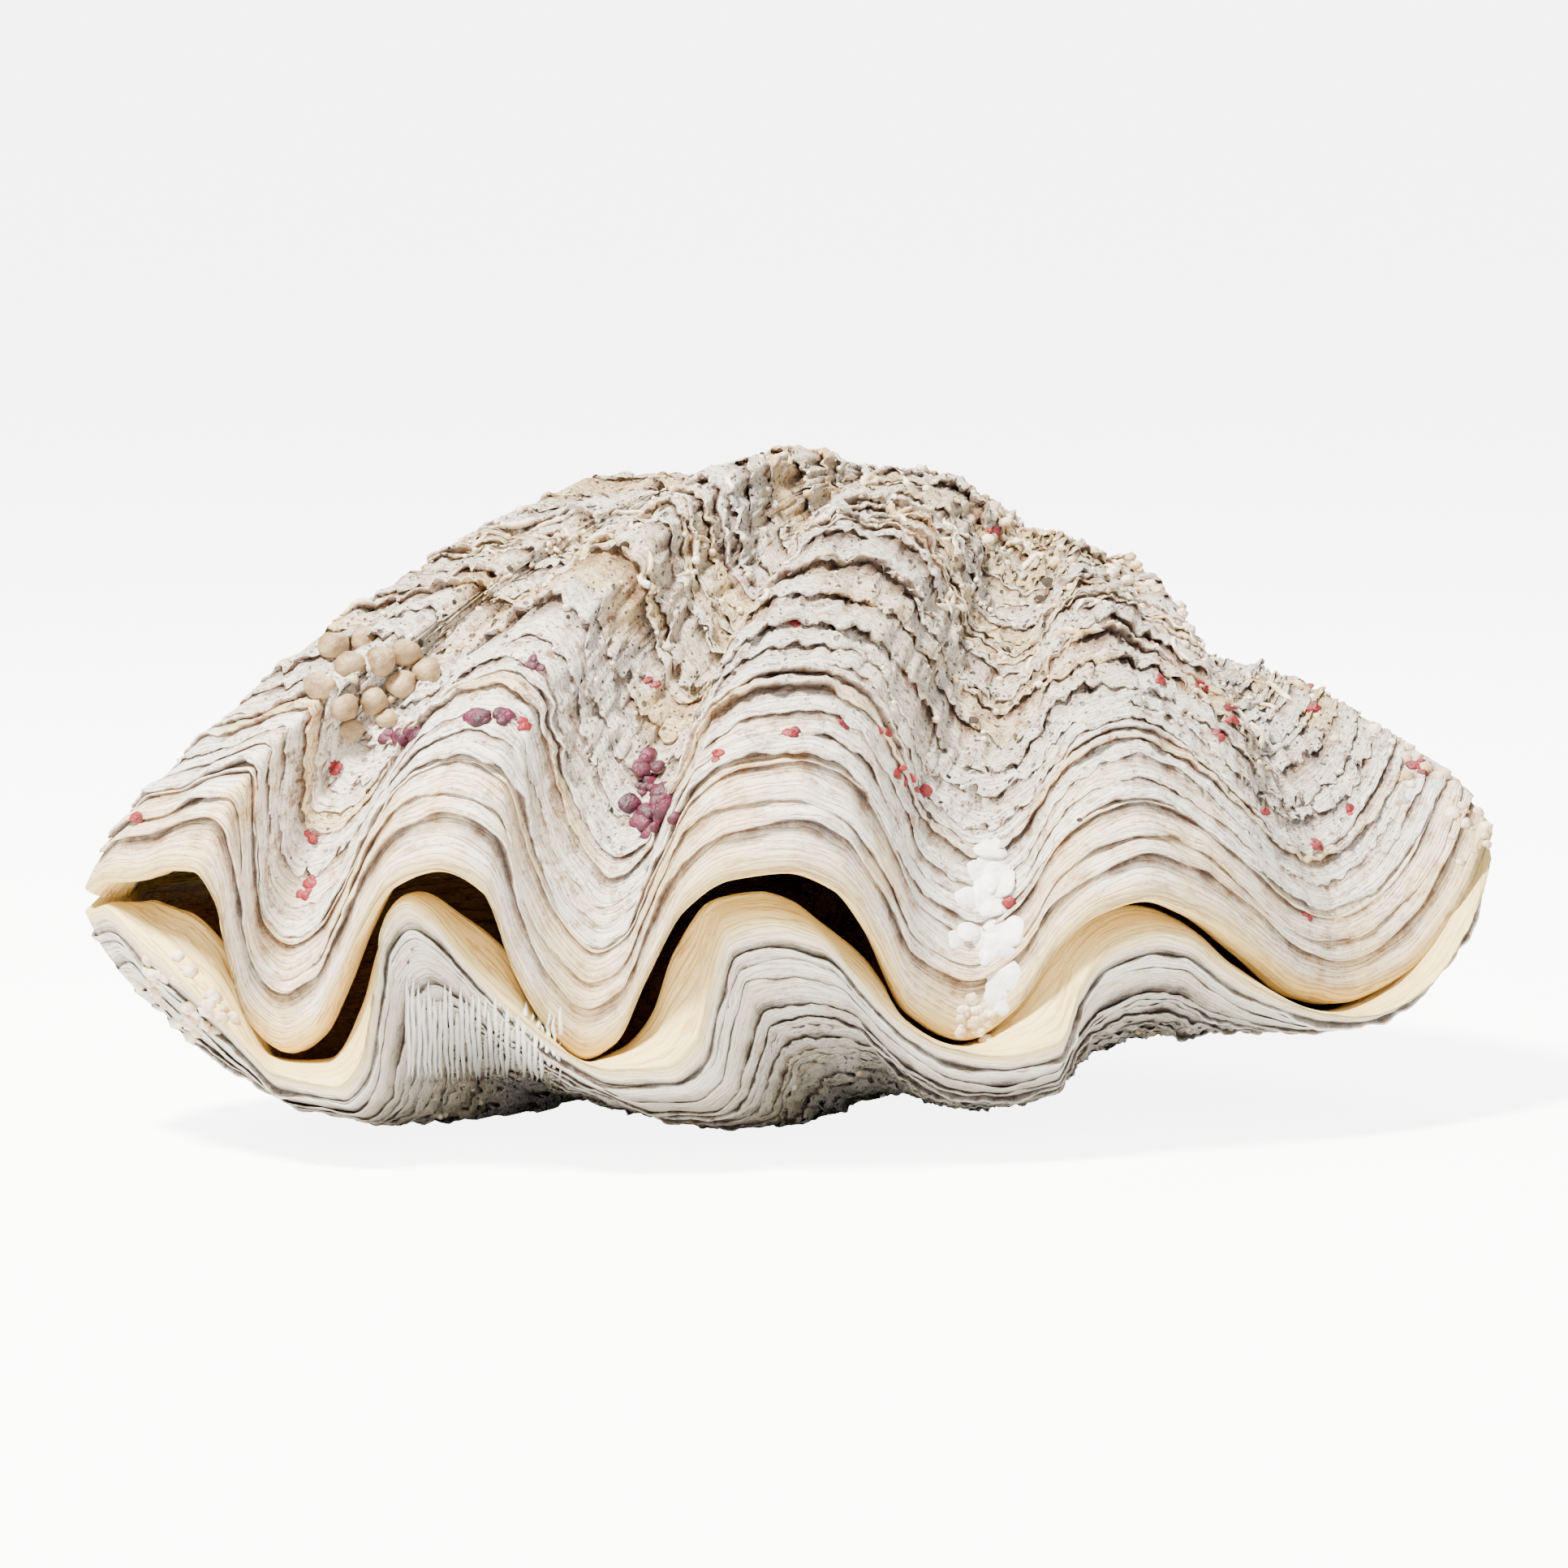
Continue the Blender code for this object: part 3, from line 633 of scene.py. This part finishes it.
def growthLinesGroup():
    # Thin ragged lines along the growth, 1 on a line
    group, given, out = newGroup(
        "growthLines",
        [("Spacing mm", "NodeSocketFloat", patterns["spacingMm"]), ("Raggedness", "NodeSocketFloat", 1.0)],
        [("Lines", "NodeSocketFloat"), ("Streaks", "NodeSocketFloat")],
    )
    age = attribute(group, "ageMm")
    along = attribute(group, "alongMm")
    place = node(group, "ShaderNodeCombineXYZ", {0: times(group, along, patterns["wanderAlong"]), 1: age})
    wander = noiseNode(group, place.outputs[0], *patterns["wander"])
    offset = times(group, mathNode(group, "SUBTRACT", wander, 0.5), given.outputs["Raggedness"])
    turns = mathNode(group, "DIVIDE", age, given.outputs["Spacing mm"])
    turns = mathNode(group, "ADD", turns, times(group, offset, patterns["wanderBy"]))
    wave = mathNode(group, "SINE", times(group, turns, 2 * math.pi))
    group.links.new(stretch(group, wave, patterns["lineFrom"], 1.0), out.inputs["Lines"])
    x = times(group, along, patterns["streakAlong"])
    y = times(group, age, patterns["streakAcross"])
    fine = node(group, "ShaderNodeCombineXYZ", {0: x, 1: y}).outputs[0]
    group.links.new(noiseNode(group, fine, *patterns["streak"]), out.inputs["Streaks"])
    return group


def pinPitsGroup():
    # Round pits left by boring worms and sponges, 1 inside a pit
    titles = {"Per metre": "pitsPerMetre", "Pit size": "pitSize", "How many": "pitsHowMany"}
    group, given, out = newGroup(
        "pinPits",
        [(title, "NodeSocketFloat", patterns[key]) for title, key in titles.items()],
        [("Pits", "NodeSocketFloat")],
    )
    coords = node(group, "ShaderNodeTexCoord").outputs["Object"]
    cells = node(group, "ShaderNodeTexVoronoi", {"Vector": coords, "Scale": given.outputs["Per metre"]})
    parts = node(group, "ShaderNodeSeparateColor", {0: cells.outputs["Color"]})
    here = mathNode(group, "LESS_THAN", parts.outputs[0], given.outputs["How many"])
    edge = mathNode(group, "SUBTRACT", given.outputs["Pit size"], cells.outputs["Distance"])
    within = mathNode(group, "MULTIPLY", edge, patterns["pitEdge"], clamp=True)
    group.links.new(times(group, within, here), out.inputs["Pits"])
    return group


growthLines = growthLinesGroup()
pinPits = pinPitsGroup()


# Shell surface: clean shell, weathered shell, dirt and painted shade in the crevices and pits, cream lip with
# yellow lines.
shellFinish = {
    "upper": {
        "fresh": colour(250, 241, 218),
        "weathered": colour(240, 223, 186),
        "chalk": colour(252, 250, 245),
        "cream": colour(238, 202, 138),
        "stain": colour(122, 68, 24),
        # near-black for dark specks, and for painted shade in the crevices under the ledges
        "dirtAndShade": colour(20, 9, 3),
        "pit": colour(10, 5, 2),
        "lip": colour(244, 212, 134),
        "lipLine": colour(176, 100, 18),
        "pitsHowMany": 0.5,
        "inside": colour(176, 132, 78),
        "stainShare": 0.8,
        "roughness": 0.62,
    },
    # The lower valve's colours are greyer and darker than the upper's: partly its own grey, partly painted
    # shade for the shadow it lies in.
    "lower": {
        "fresh": colour(236, 230, 214),
        "weathered": colour(205, 198, 186),
        "chalk": colour(240, 238, 232),
        "cream": colour(228, 216, 190),
        "stain": colour(88, 60, 36),
        "dirtAndShade": colour(24, 15, 9),
        "pit": colour(16, 11, 8),
        "lip": colour(242, 216, 148),
        "lipLine": colour(196, 144, 66),
        "pitsHowMany": 0.42,
        "inside": colour(176, 132, 78),
        "stainShare": 0.62,
        "roughness": 0.66,
    },
}
# Noises on both shells: scale per metre, detail, roughness
shellNoise = {"patches": (34.0, 6.0, 0.62), "blots": (230.0, 7.0, 0.78), "grit": (620.0, 4.0, 0.7)}
# How a layer comes in: (pattern or age in mm where it starts, where it is full, value there, value full)
shellRamps = {
    "worn": (10.0, 60.0, 0.0, 1.0),
    "creamBands": (0.55, 0.70, 0.0, 0.55),
    "chalkBands": (0.42, 0.25, 0.0, 0.50),
    "chalkPatches": (0.46, 0.62, 0.0, 0.80),
    "stainBlots": (0.50, 0.64, 0.0, 1.0),
    "stainAges": (4.0, 40.0, 0.25, 1.0),
    "streaks": (0.55, 0.75, 0.0, 0.50),
    "lineBlots": (0.42, 0.60, 0.0, 1.0),
    "lineAges": (90.0, 20.0, 0.15, 0.55),
    "creviceStainAndShade": (0.15, 0.70, 0.0, 0.80),
    "creviceBlots": (0.30, 0.56, 0.45, 1.0),
    "deepDirtAndShade": (0.45, 0.90, 0.0, 0.80),
    "dirtAndShadePatches": (0.36, 0.50, 0.0, 1.0),
    "specks": (0.60, 0.68, 0.0, 0.85),
    "hollows": (0.47, 0.38, 0.0, 0.60),
    "rimPatches": (0.40, 0.60, 0.1, 0.7),
    "within": (-9.0, -16.0, 0.0, 1.0),
    "lineHeights": (0.0, 1.0, 0.30, 0.10),  # from the body to the lip
}
shellSurface = {
    "lineSpacingMm": 1.5,
    "finePits": {"Per metre": 620.0, "Pit size": 0.26, "How many": 0.45},
    "pitShadeShare": 0.85,
    "roughFrom": 0.08,  # smoother than the set roughness
    "roughTo": 0.18,  # rougher than it
    "lipGloss": 0.22,
    "bumps": {"blots": 1.1, "grit": 0.45, "streaks": 0.5, "pits": -0.8},
    "bumpDistance": 0.0016,
}


def shellMaterial(name, look):
    material = bpy.data.materials.new(name)
    material.use_nodes = True
    tree = material.node_tree
    shader = tree.nodes["Principled BSDF"]

    def ramp(key, pattern):
        return stretch(tree, pattern, *shellRamps[key])

    coords = node(tree, "ShaderNodeTexCoord").outputs["Object"]
    patches, blots, grit = [noiseNode(tree, coords, *shellNoise[key]) for key in ("patches", "blots", "grit")]
    spacing = {"Spacing mm": shellSurface["lineSpacingMm"]}
    lines, streaks = node(tree, "ShaderNodeGroup", spacing, node_tree=growthLines).outputs
    pits = node(tree, "ShaderNodeGroup", {"How many": look["pitsHowMany"]}, node_tree=pinPits).outputs[0]
    finePits = node(tree, "ShaderNodeGroup", shellSurface["finePits"], node_tree=pinPits).outputs[0]
    age, dirtAndShade, lipHere, band = [attribute(tree, key) for key in ("ageMm", "dirtAndShade", "lip", "band")]
    worn = ramp("worn", age)
    stains = times(tree, ramp("stainBlots", blots), ramp("stainAges", age))
    layered = times(tree, times(tree, lines, ramp("lineBlots", blots)), ramp("lineAges", age))
    pitted = times(tree, mathNode(tree, "MAXIMUM", pits, finePits), worn)

    body = mixColour(tree, worn, look["fresh"], look["weathered"])
    for share, key in (
        (ramp("creamBands", band), "cream"),
        (ramp("chalkBands", band), "chalk"),
        (ramp("chalkPatches", patches), "chalk"),
        (times(tree, stains, look["stainShare"]), "stain"),
        (ramp("streaks", streaks), "stain"),
        (layered, "lipLine"),
        # Stain and near-black in the crevices under the ledges: partly real dirt, partly painted shade.
        (times(tree, ramp("creviceStainAndShade", dirtAndShade), ramp("creviceBlots", blots)), "stain"),
        (times(tree, ramp("deepDirtAndShade", dirtAndShade), ramp("dirtAndShadePatches", patches)), "dirtAndShade"),
        (times(tree, ramp("specks", grit), worn), "dirtAndShade"),
        (times(tree, ramp("hollows", blots), worn), "stain"),
        # near-black in the pits: painted shade inside holes that are only bumps
        (times(tree, pitted, shellSurface["pitShadeShare"]), "pit"),
    ):
        body = mixColour(tree, share, body, look[key])

    rim = mixColour(tree, times(tree, lines, ramp("rimPatches", patches)), look["lip"], look["lipLine"])
    outside = mixColour(tree, lipHere, body, rim)
    painted = mixColour(tree, ramp("within", age), outside, look["inside"])
    tree.links.new(painted, shader.inputs["Base Color"])

    smoothest = look["roughness"] - shellSurface["roughFrom"]
    rough = stretch(tree, blots, 0.3, 0.7, smoothest, look["roughness"] + shellSurface["roughTo"])
    rough = mathNode(tree, "SUBTRACT", rough, times(tree, lipHere, shellSurface["lipGloss"]))
    tree.links.new(rough, shader.inputs["Roughness"])

    height = times(tree, lines, ramp("lineHeights", lipHere))
    wornBlots, wornGrit = times(tree, blots, worn), times(tree, grit, worn)
    raised = {"blots": wornBlots, "grit": wornGrit, "streaks": streaks, "pits": pitted}
    for key, pattern in raised.items():
        height = mathNode(tree, "ADD", height, times(tree, pattern, shellSurface["bumps"][key]))
    inputs = {"Height": height, "Distance": shellSurface["bumpDistance"], "Strength": 1.0}
    tree.links.new(node(tree, "ShaderNodeBump", inputs).outputs[0], shader.inputs["Normal"])
    return material


def dress(obj, material, slot, *nodes):
    obj.data.materials.clear()
    obj.data.materials.append(material)
    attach(obj, "root")
    if nodes:
        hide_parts(*nodes)


upperSkin = shellMaterial("weathered warm shell", shellFinish["upper"])
lowerSkinWithShade = shellMaterial("weathered grey shell with painted shade", shellFinish["lower"])
dress(upperShell, upperSkin, "warm_white_shell", "upper_valve")
dress(lowerShell, lowerSkinWithShade, "grey_white_shell", "lower_valve")


# Floor, light and camera
studio = {
    "elevation": math.radians(20.0),  # of the view, over the plane of the margin
    "distance": 1500.0,
    "target": np.array([0.0, 0.0, 17.0]),
    "pixelsPerMm": 5.42,
    "frame": 1932,
    "sensorMm": 36.0,
    "clipEnd": 500.0,
    "floorHalf": 150.0,
    "floorColour": (0.92, 0.92, 0.92, 1),
    "floorRoughness": 0.9,
    "floorGlow": 6.0,  # seen by the camera only, as on a light table
    "worldColour": (1.0, 1.0, 1.0, 1),
    "worldStrength": 0.26,
    # (place, size, watts, colour), all aimed at the middle of the shell
    "lights": [
        ((-0.50, -0.55, 1.30), 0.24, 132.0, (1.0, 0.968, 0.885)),
        ((0.95, -0.55, 0.85), 0.9, 7.0, (0.97, 0.985, 1.0)),
        ((0.10, 0.85, 1.05), 0.7, 18.0, (1.0, 1.0, 1.0)),
    ],
    "lightsAim": (0, 0, 0.07),
}


def placeFacing(name, data, place, aim):
    obj = bpy.data.objects.new(name, data)
    obj.location = place
    obj.rotation_euler = (Vector(aim) - Vector(place)).to_track_quat("-Z", "Y").to_euler()
    bpy.context.scene.collection.objects.link(obj)
    return obj


def buildStudio():
    bm = bmesh.new()
    bmesh.ops.create_grid(bm, x_segments=2, y_segments=2, size=studio["floorHalf"])
    floor = finishPiece("floor", bm)
    paper = bpy.data.materials.new("pale paper")
    paper.use_nodes = True
    shader = paper.node_tree.nodes["Principled BSDF"]
    shader.inputs["Base Color"].default_value = studio["floorColour"]
    shader.inputs["Roughness"].default_value = studio["floorRoughness"]
    shader.inputs["Emission Color"].default_value = (1, 1, 1, 1)
    seen = node(paper.node_tree, "ShaderNodeLightPath").outputs["Is Camera Ray"]
    glow = times(paper.node_tree, seen, studio["floorGlow"])
    paper.node_tree.links.new(glow, shader.inputs["Emission Strength"])
    floor.data.materials.append(paper)
    world = bpy.data.worlds.new("soft studio")
    bpy.context.scene.world = world
    world.use_nodes = True
    sky = world.node_tree.nodes["Background"]
    sky.inputs[0].default_value = studio["worldColour"]
    sky.inputs[1].default_value = studio["worldStrength"]
    for i, (place, size, watts, tint) in enumerate(studio["lights"]):
        lamp = bpy.data.lights.new(f"softbox{i}", "AREA")
        lamp.size = size
        lamp.energy = watts
        lamp.color = tint
        placeFacing(f"softbox{i}", lamp, place, studio["lightsAim"])


cameraBack = np.array([0, -math.cos(studio["elevation"]), math.sin(studio["elevation"])])
cameraUp = np.array([0, math.sin(studio["elevation"]), math.cos(studio["elevation"])])
cameraPlace = Vector(layDown([studio["target"] + cameraBack * studio["distance"]])[0])


def buildCamera():
    camera = bpy.data.cameras.new("camera")
    camera.sensor_width = studio["sensorMm"]
    camera.lens = studio["sensorMm"] * studio["pixelsPerMm"] * studio["distance"] / studio["frame"]
    camera.clip_end = studio["clipEnd"]
    aim = layDown([studio["target"]])[0]
    bpy.context.scene.camera = placeFacing("camera", camera, cameraPlace, aim)


print("studio")
buildStudio()
buildCamera()

print("crusts")
skins = [BVHTree.FromObject(o, bpy.context.evaluated_depsgraph_get()) for o in (upperShell, lowerShell)]

# What grew on the shells. A shape is how flat, how deep it sits, how uneven, and its mesh's detail.
lumps = {
    "seed": 11,
    "narrow": 0.86,  # width by length
    "unevenSize": 0.9,  # in radii
    "unevenAway": 900,
    "scatter": 0.5,  # share of the spread, as a standard deviation
    "tubeEnds": 1.6,  # the more, the blunter
}
chance = random.Random(lumps["seed"])


def atPhoto(px, py):
    # the spot on the shells that the camera sees at this pixel of the photo, and its normal
    half = studio["frame"] / 2
    ray = -cameraBack * studio["pixelsPerMm"] * studio["distance"] - cameraUp * (py - half)
    ray[0] += px - half
    way = restTurn @ Vector(ray).normalized()
    hits = [hit for hit in (tree.ray_cast(cameraPlace, way) for tree in skins) if hit[0] is not None]
    if not hits:
        return None
    spot, normal, _, _ = min(hits, key=lambda hit: hit[3])
    return spot, normal if normal.dot(way) < 0 else -normal


def nearPhoto(px, py, spread):
    across = chance.gauss(0, lumps["scatter"]) * spread
    down = chance.gauss(0, lumps["scatter"]) * spread
    return atPhoto(px + across, py + down)


def onSkin(point):
    hits = [tree.find_nearest(point) for tree in skins]
    spot, normal, _, _ = min(hits, key=lambda hit: hit[3])
    return spot, normal


def someVert(piece, ages):
    # a random vertex of the shell between these ages, in mm of growth
    verts = piece.data.vertices
    ageOf = piece.data.attributes["ageMm"].data
    while True:
        i = chance.randrange(len(verts))
        if ages[0] < ageOf[i].value < ages[1]:
            return verts[i]


def addBlob(bm, spot, normal, radius, flat, sunk, uneven, detail):
    # a rounded lump sitting on the shell
    turn = normal.to_track_quat("Z", "Y").to_matrix().to_4x4()
    size = Matrix.Diagonal((radius, radius * lumps["narrow"], radius * flat, 1))
    place = Matrix.Translation(spot - normal * radius * flat * sunk) @ turn @ size
    made = bmesh.ops.create_icosphere(bm, subdivisions=detail, radius=1.0, matrix=place)
    centre = place.translation
    for vert in made["verts"]:
        spotOnNoise = vert.co / (radius * lumps["unevenSize"]) + centre * lumps["unevenAway"]
        vert.co = centre + (vert.co - centre) * (1 + uneven * noise.noise(spotOnNoise))


def addTube(bm, path, radius, sides=6):
    # a closed little tube along the path, from a sphere drawn out
    steps = len(path) - 1
    made = bmesh.ops.create_uvsphere(bm, u_segments=sides, v_segments=steps + 1, radius=1.0)
    for vert in made["verts"]:
        place = (math.asin(max(-1.0, min(1.0, vert.co.z))) / math.pi + 0.5) * steps
        i = min(int(place + 1e-6), steps - 1)
        point, normal = [path[i][k].lerp(path[i + 1][k], place - i) for k in (0, 1)]
        along = (path[i + 1][0] - path[i][0]).normalized()
        across = along.cross(normal).normalized()
        thick = radius * min(Vector((vert.co.x, vert.co.y)).length * lumps["tubeEnds"], 1.0)
        turned = math.atan2(vert.co.y, vert.co.x)
        vert.co = point + (across * math.cos(turned) + normal * math.sin(turned)) * thick


def finishCrust(name, bm, material, slot):
    bmesh.ops.recalc_face_normals(bm, faces=bm.faces)
    for vert in bm.verts:
        vert.co.z = max(vert.co.z, 0.0)
    dress(finishPiece(name, bm), material, slot)


def crustMaterial(name, main, second, scale, roughness, bumpScale):
    material = bpy.data.materials.new(name)
    material.use_nodes = True
    tree = material.node_tree
    shader = tree.nodes["Principled BSDF"]
    coords = node(tree, "ShaderNodeTexCoord").outputs["Object"]
    mottle = noiseNode(tree, coords, scale, 5.0, 0.65)
    painted = mixColour(tree, stretch(tree, mottle, 0.38, 0.62), colour(*main), colour(*second))
    tree.links.new(painted, shader.inputs["Base Color"])
    fine = noiseNode(tree, coords, bumpScale, 4.0)
    bump = node(tree, "ShaderNodeBump", {"Height": fine, "Distance": 0.0006, "Strength": 0.7})
    tree.links.new(bump.outputs[0], shader.inputs["Normal"])
    shader.inputs["Roughness"].default_value = roughness
    return material


# Two colours, the scale of their mottling, roughness, and the scale of the bumps
tanKnob = crustMaterial("tan white knob", (176, 150, 112), (112, 84, 54), 120.0, 0.5, 900.0)
purpleCrust = crustMaterial("purple crust", (40, 2, 18), (92, 20, 48), 260.0, 0.5, 1400.0)
redCrust = crustMaterial("red crust", (84, 1, 10), (140, 26, 34), 300.0, 0.5, 1400.0)
whiteCrust = crustMaterial("smooth white crust", (246, 246, 244), (226, 224, 218), 90.0, 0.45, 700.0)
boringShade = crustMaterial("painted shade inside a boring", (38, 26, 18), (58, 42, 30), 400.0, 0.9, 900.0)
grainTan = crustMaterial("grains and tubes", (242, 232, 212), (186, 150, 104), 200.0, 0.6, 1200.0)

knobs = {
    # place in the photo, radius in mm
    "places": [
        (395, 845, 3.7), (422, 872, 3.7), (432, 822, 3.4), (458, 862, 4.0), (468, 815, 3.7),
        (494, 842, 3.7), (500, 805, 4.0), (528, 828, 3.4), (412, 795, 3.4), (448, 790, 3.2),
        (478, 888, 3.0), (432, 900, 3.0),
    ],
    "sizes": (0.85, 1.1),
    "shape": (0.92, -0.1, 0.25, 3),
}
bm = bmesh.new()
for px, py, radius in knobs["places"]:
    hit = atPhoto(px, py)
    if hit:
        addBlob(bm, *hit, radius * chance.uniform(*knobs["sizes"]) * mm, *knobs["shape"])
finishCrust("roundKnobs", bm, tanKnob, "warm_white_shell")

purple = {
    # place in the photo, spread in pixels, how many, radius in mm
    "places": [
        (490, 905, 14, 8, 2.6), (585, 884, 8, 5, 2.8), (618, 882, 8, 5, 2.6), (655, 815, 8, 3, 2.2),
        (800, 1000, 26, 16, 3.4), (800, 940, 14, 6, 2.4), (805, 970, 16, 6, 2.6),
    ],
    "sizes": (0.5, 1.0),
    "flat": (0.35, 0.6),
    "shape": (0.1, 0.5, 2),
}
bm = bmesh.new()
for px, py, spread, count, radius in purple["places"]:
    for _ in range(count):
        hit = nearPhoto(px, py, spread)
        if hit:
            size = radius * chance.uniform(*purple["sizes"]) * mm
            addBlob(bm, *hit, size, chance.uniform(*purple["flat"]), *purple["shape"])
finishCrust("purpleCrust", bm, purpleCrust, "warm_white_shell")

red = {
    "places": [
        (170, 1008), (412, 945), (380, 1030), (385, 1085), (375, 1105), (648, 893), (803, 838),
        (978, 768), (880, 932), (975, 900), (1037, 888), (1090, 900), (1120, 963), (1135, 975),
        (1245, 1110), (1222, 655), (1430, 840), (1480, 845), (1500, 905), (1520, 890), (1560, 1000),
        (1612, 1128), (1623, 1038), (1665, 1000), (1745, 940), (1610, 845), (1108, 950), (1515, 872),
        (1752, 948), (1620, 868),
    ],
    "each": 3,
    "spread": (6, 5),
    "radius": (0.8, 1.7),
    "shape": (0.3, 0.1, 0.5, 2),
}
white = {
    "places": [
        (1212, 1045), (1222, 1080), (1208, 1110), (1226, 1140), (1212, 1170), (1222, 1200), (1236, 1165),
        (1196, 1140), (1230, 1110), (1216, 1226), (1200, 1075), (1236, 1215),
    ],
    "each": 3,
    "spread": (16, 16),
    "radius": (2.0, 4.4),
    "shape": (0.22, 0.3, 0.5, 3),
}
for pieceName, patch, material in (("redSpots", red, redCrust), ("whiteCrust", white, whiteCrust)):
    bm = bmesh.new()
    across, down = patch["spread"]
    for px, py in patch["places"]:
        for _ in range(patch["each"]):
            hit = atPhoto(px + chance.uniform(-across, across), py + chance.uniform(-down, down))
            if hit:
                addBlob(bm, *hit, chance.uniform(*patch["radius"]) * mm, *patch["shape"])
    finishCrust(pieceName, bm, material, "warm_white_shell")

# Dark discs where the shell is bored: painted shade standing in for the insides of holes that are not cut.
boringShades = {
    # place in the photo, radius in mm
    "places": [
        (770, 673, 1.3), (1197, 887, 1.7), (1145, 1005, 1.1), (1290, 722, 2.6), (1283, 740, 1.8),
        (628, 700, 0.8), (560, 742, 0.8), (700, 760, 0.7), (905, 830, 0.9), (1240, 800, 1.2),
        (1262, 772, 1.3), (1330, 1010, 0.7), (1060, 620, 0.9), (1120, 690, 0.9),
    ],
    "shape": (0.12, 0.3, 0.2, 2),
}
bm = bmesh.new()
for px, py, radius in boringShades["places"]:
    hit = atPhoto(px, py)
    if hit:
        addBlob(bm, *hit, radius * mm, *boringShades["shape"])
finishCrust("boringShades", bm, boringShade, "warm_white_shell")

print("grains and tubes")
grains = {
    "upper": 1500,
    "lower": 420,
    "radius": (0.45, 1.5),
    "sizes": (0.5, 1),
    "ages": (45.0, 330.0),
    "shape": (0.7, 0.2, 0.0, 1),
    # swarms of bigger grains: place in the photo, spread in pixels
    "swarms": [
        (1500, 760, 60), (1600, 800, 70), (1700, 850, 60), (1330, 660, 50), (1420, 700, 50),
        (1760, 930, 50), (1820, 1010, 40), (190, 1215, 40), (245, 1255, 40), (1240, 640, 40),
        (1200, 1260, 30),
    ],
    "swarmEach": 26,
    "swarmRadius": (0.8, 2.3),
    "swarmShape": (0.75, 0.2, 0.0, 1),
}
bm = bmesh.new()
for shellPiece, count in ((upperShell, grains["upper"]), (lowerShell, grains["lower"])):
    for _ in range(count):
        vert = someVert(shellPiece, grains["ages"])
        radius = chance.uniform(*grains["radius"]) * chance.uniform(*grains["sizes"]) * mm
        addBlob(bm, vert.co.copy(), vert.normal.copy(), radius, *grains["shape"])
for px, py, spread in grains["swarms"]:
    for _ in range(grains["swarmEach"]):
        hit = nearPhoto(px, py, spread)
        if hit:
            addBlob(bm, *hit, chance.uniform(*grains["swarmRadius"]) * mm, *grains["swarmShape"])
finishCrust("grains", bm, grainTan, "warm_white_shell")

tubes = {
    "count": 170,
    "radius": (0.45, 0.95),
    "steps": 9,
    "step": 0.0016,
    "bend": 0.45,  # most, at each step
    "lift": 0.0003,
    "ages": (70.0, 300.0),
}
bm = bmesh.new()
for _ in range(tubes["count"]):
    point, normal = onSkin(someVert(upperShell, tubes["ages"]).co)
    way = normal.orthogonal().normalized()
    way.rotate(Matrix.Rotation(chance.uniform(0, 2 * math.pi), 3, normal))
    bend = chance.uniform(-tubes["bend"], tubes["bend"])
    path = []
    for _ in range(tubes["steps"]):
        path.append((point + normal * tubes["lift"], normal))
        way.rotate(Matrix.Rotation(bend, 3, normal))
        point, normal = onSkin(point + way * tubes["step"])
        way = (way - normal * way.dot(normal)).normalized()
    addTube(bm, path, chance.uniform(*tubes["radius"]) * mm)
finishCrust("wormTubes", bm, grainTan, "warm_white_shell")

# Ridges side by side under the second tongue, in photo pixels but for the radius and lift
comb = {
    "from": 500,
    "to": 690,
    "step": 7,
    "top": 1205,
    "bottom": 1335,
    "topSway": 12,
    "topFall": 0.22,
    "sideSway": 2,
    "steps": 8,
    "radius": 0.55,
    "lift": 0.0004,
}
bm = bmesh.new()
for px in range(comb["from"], comb["to"], comb["step"]):
    top = comb["top"] + chance.uniform(-comb["topSway"], comb["topSway"])
    top += comb["topFall"] * (px - comb["from"])
    hits = []
    for t in range(comb["steps"] + 1):
        sway = chance.uniform(-comb["sideSway"], comb["sideSway"])
        hits.append(atPhoto(px + sway, top + (comb["bottom"] - top) * t / comb["steps"]))
    if all(hits):
        addTube(bm, [(spot + normal * comb["lift"], normal) for spot, normal in hits], comb["radius"] * mm)
finishCrust("combRidges", bm, whiteCrust, "grey_white_shell")
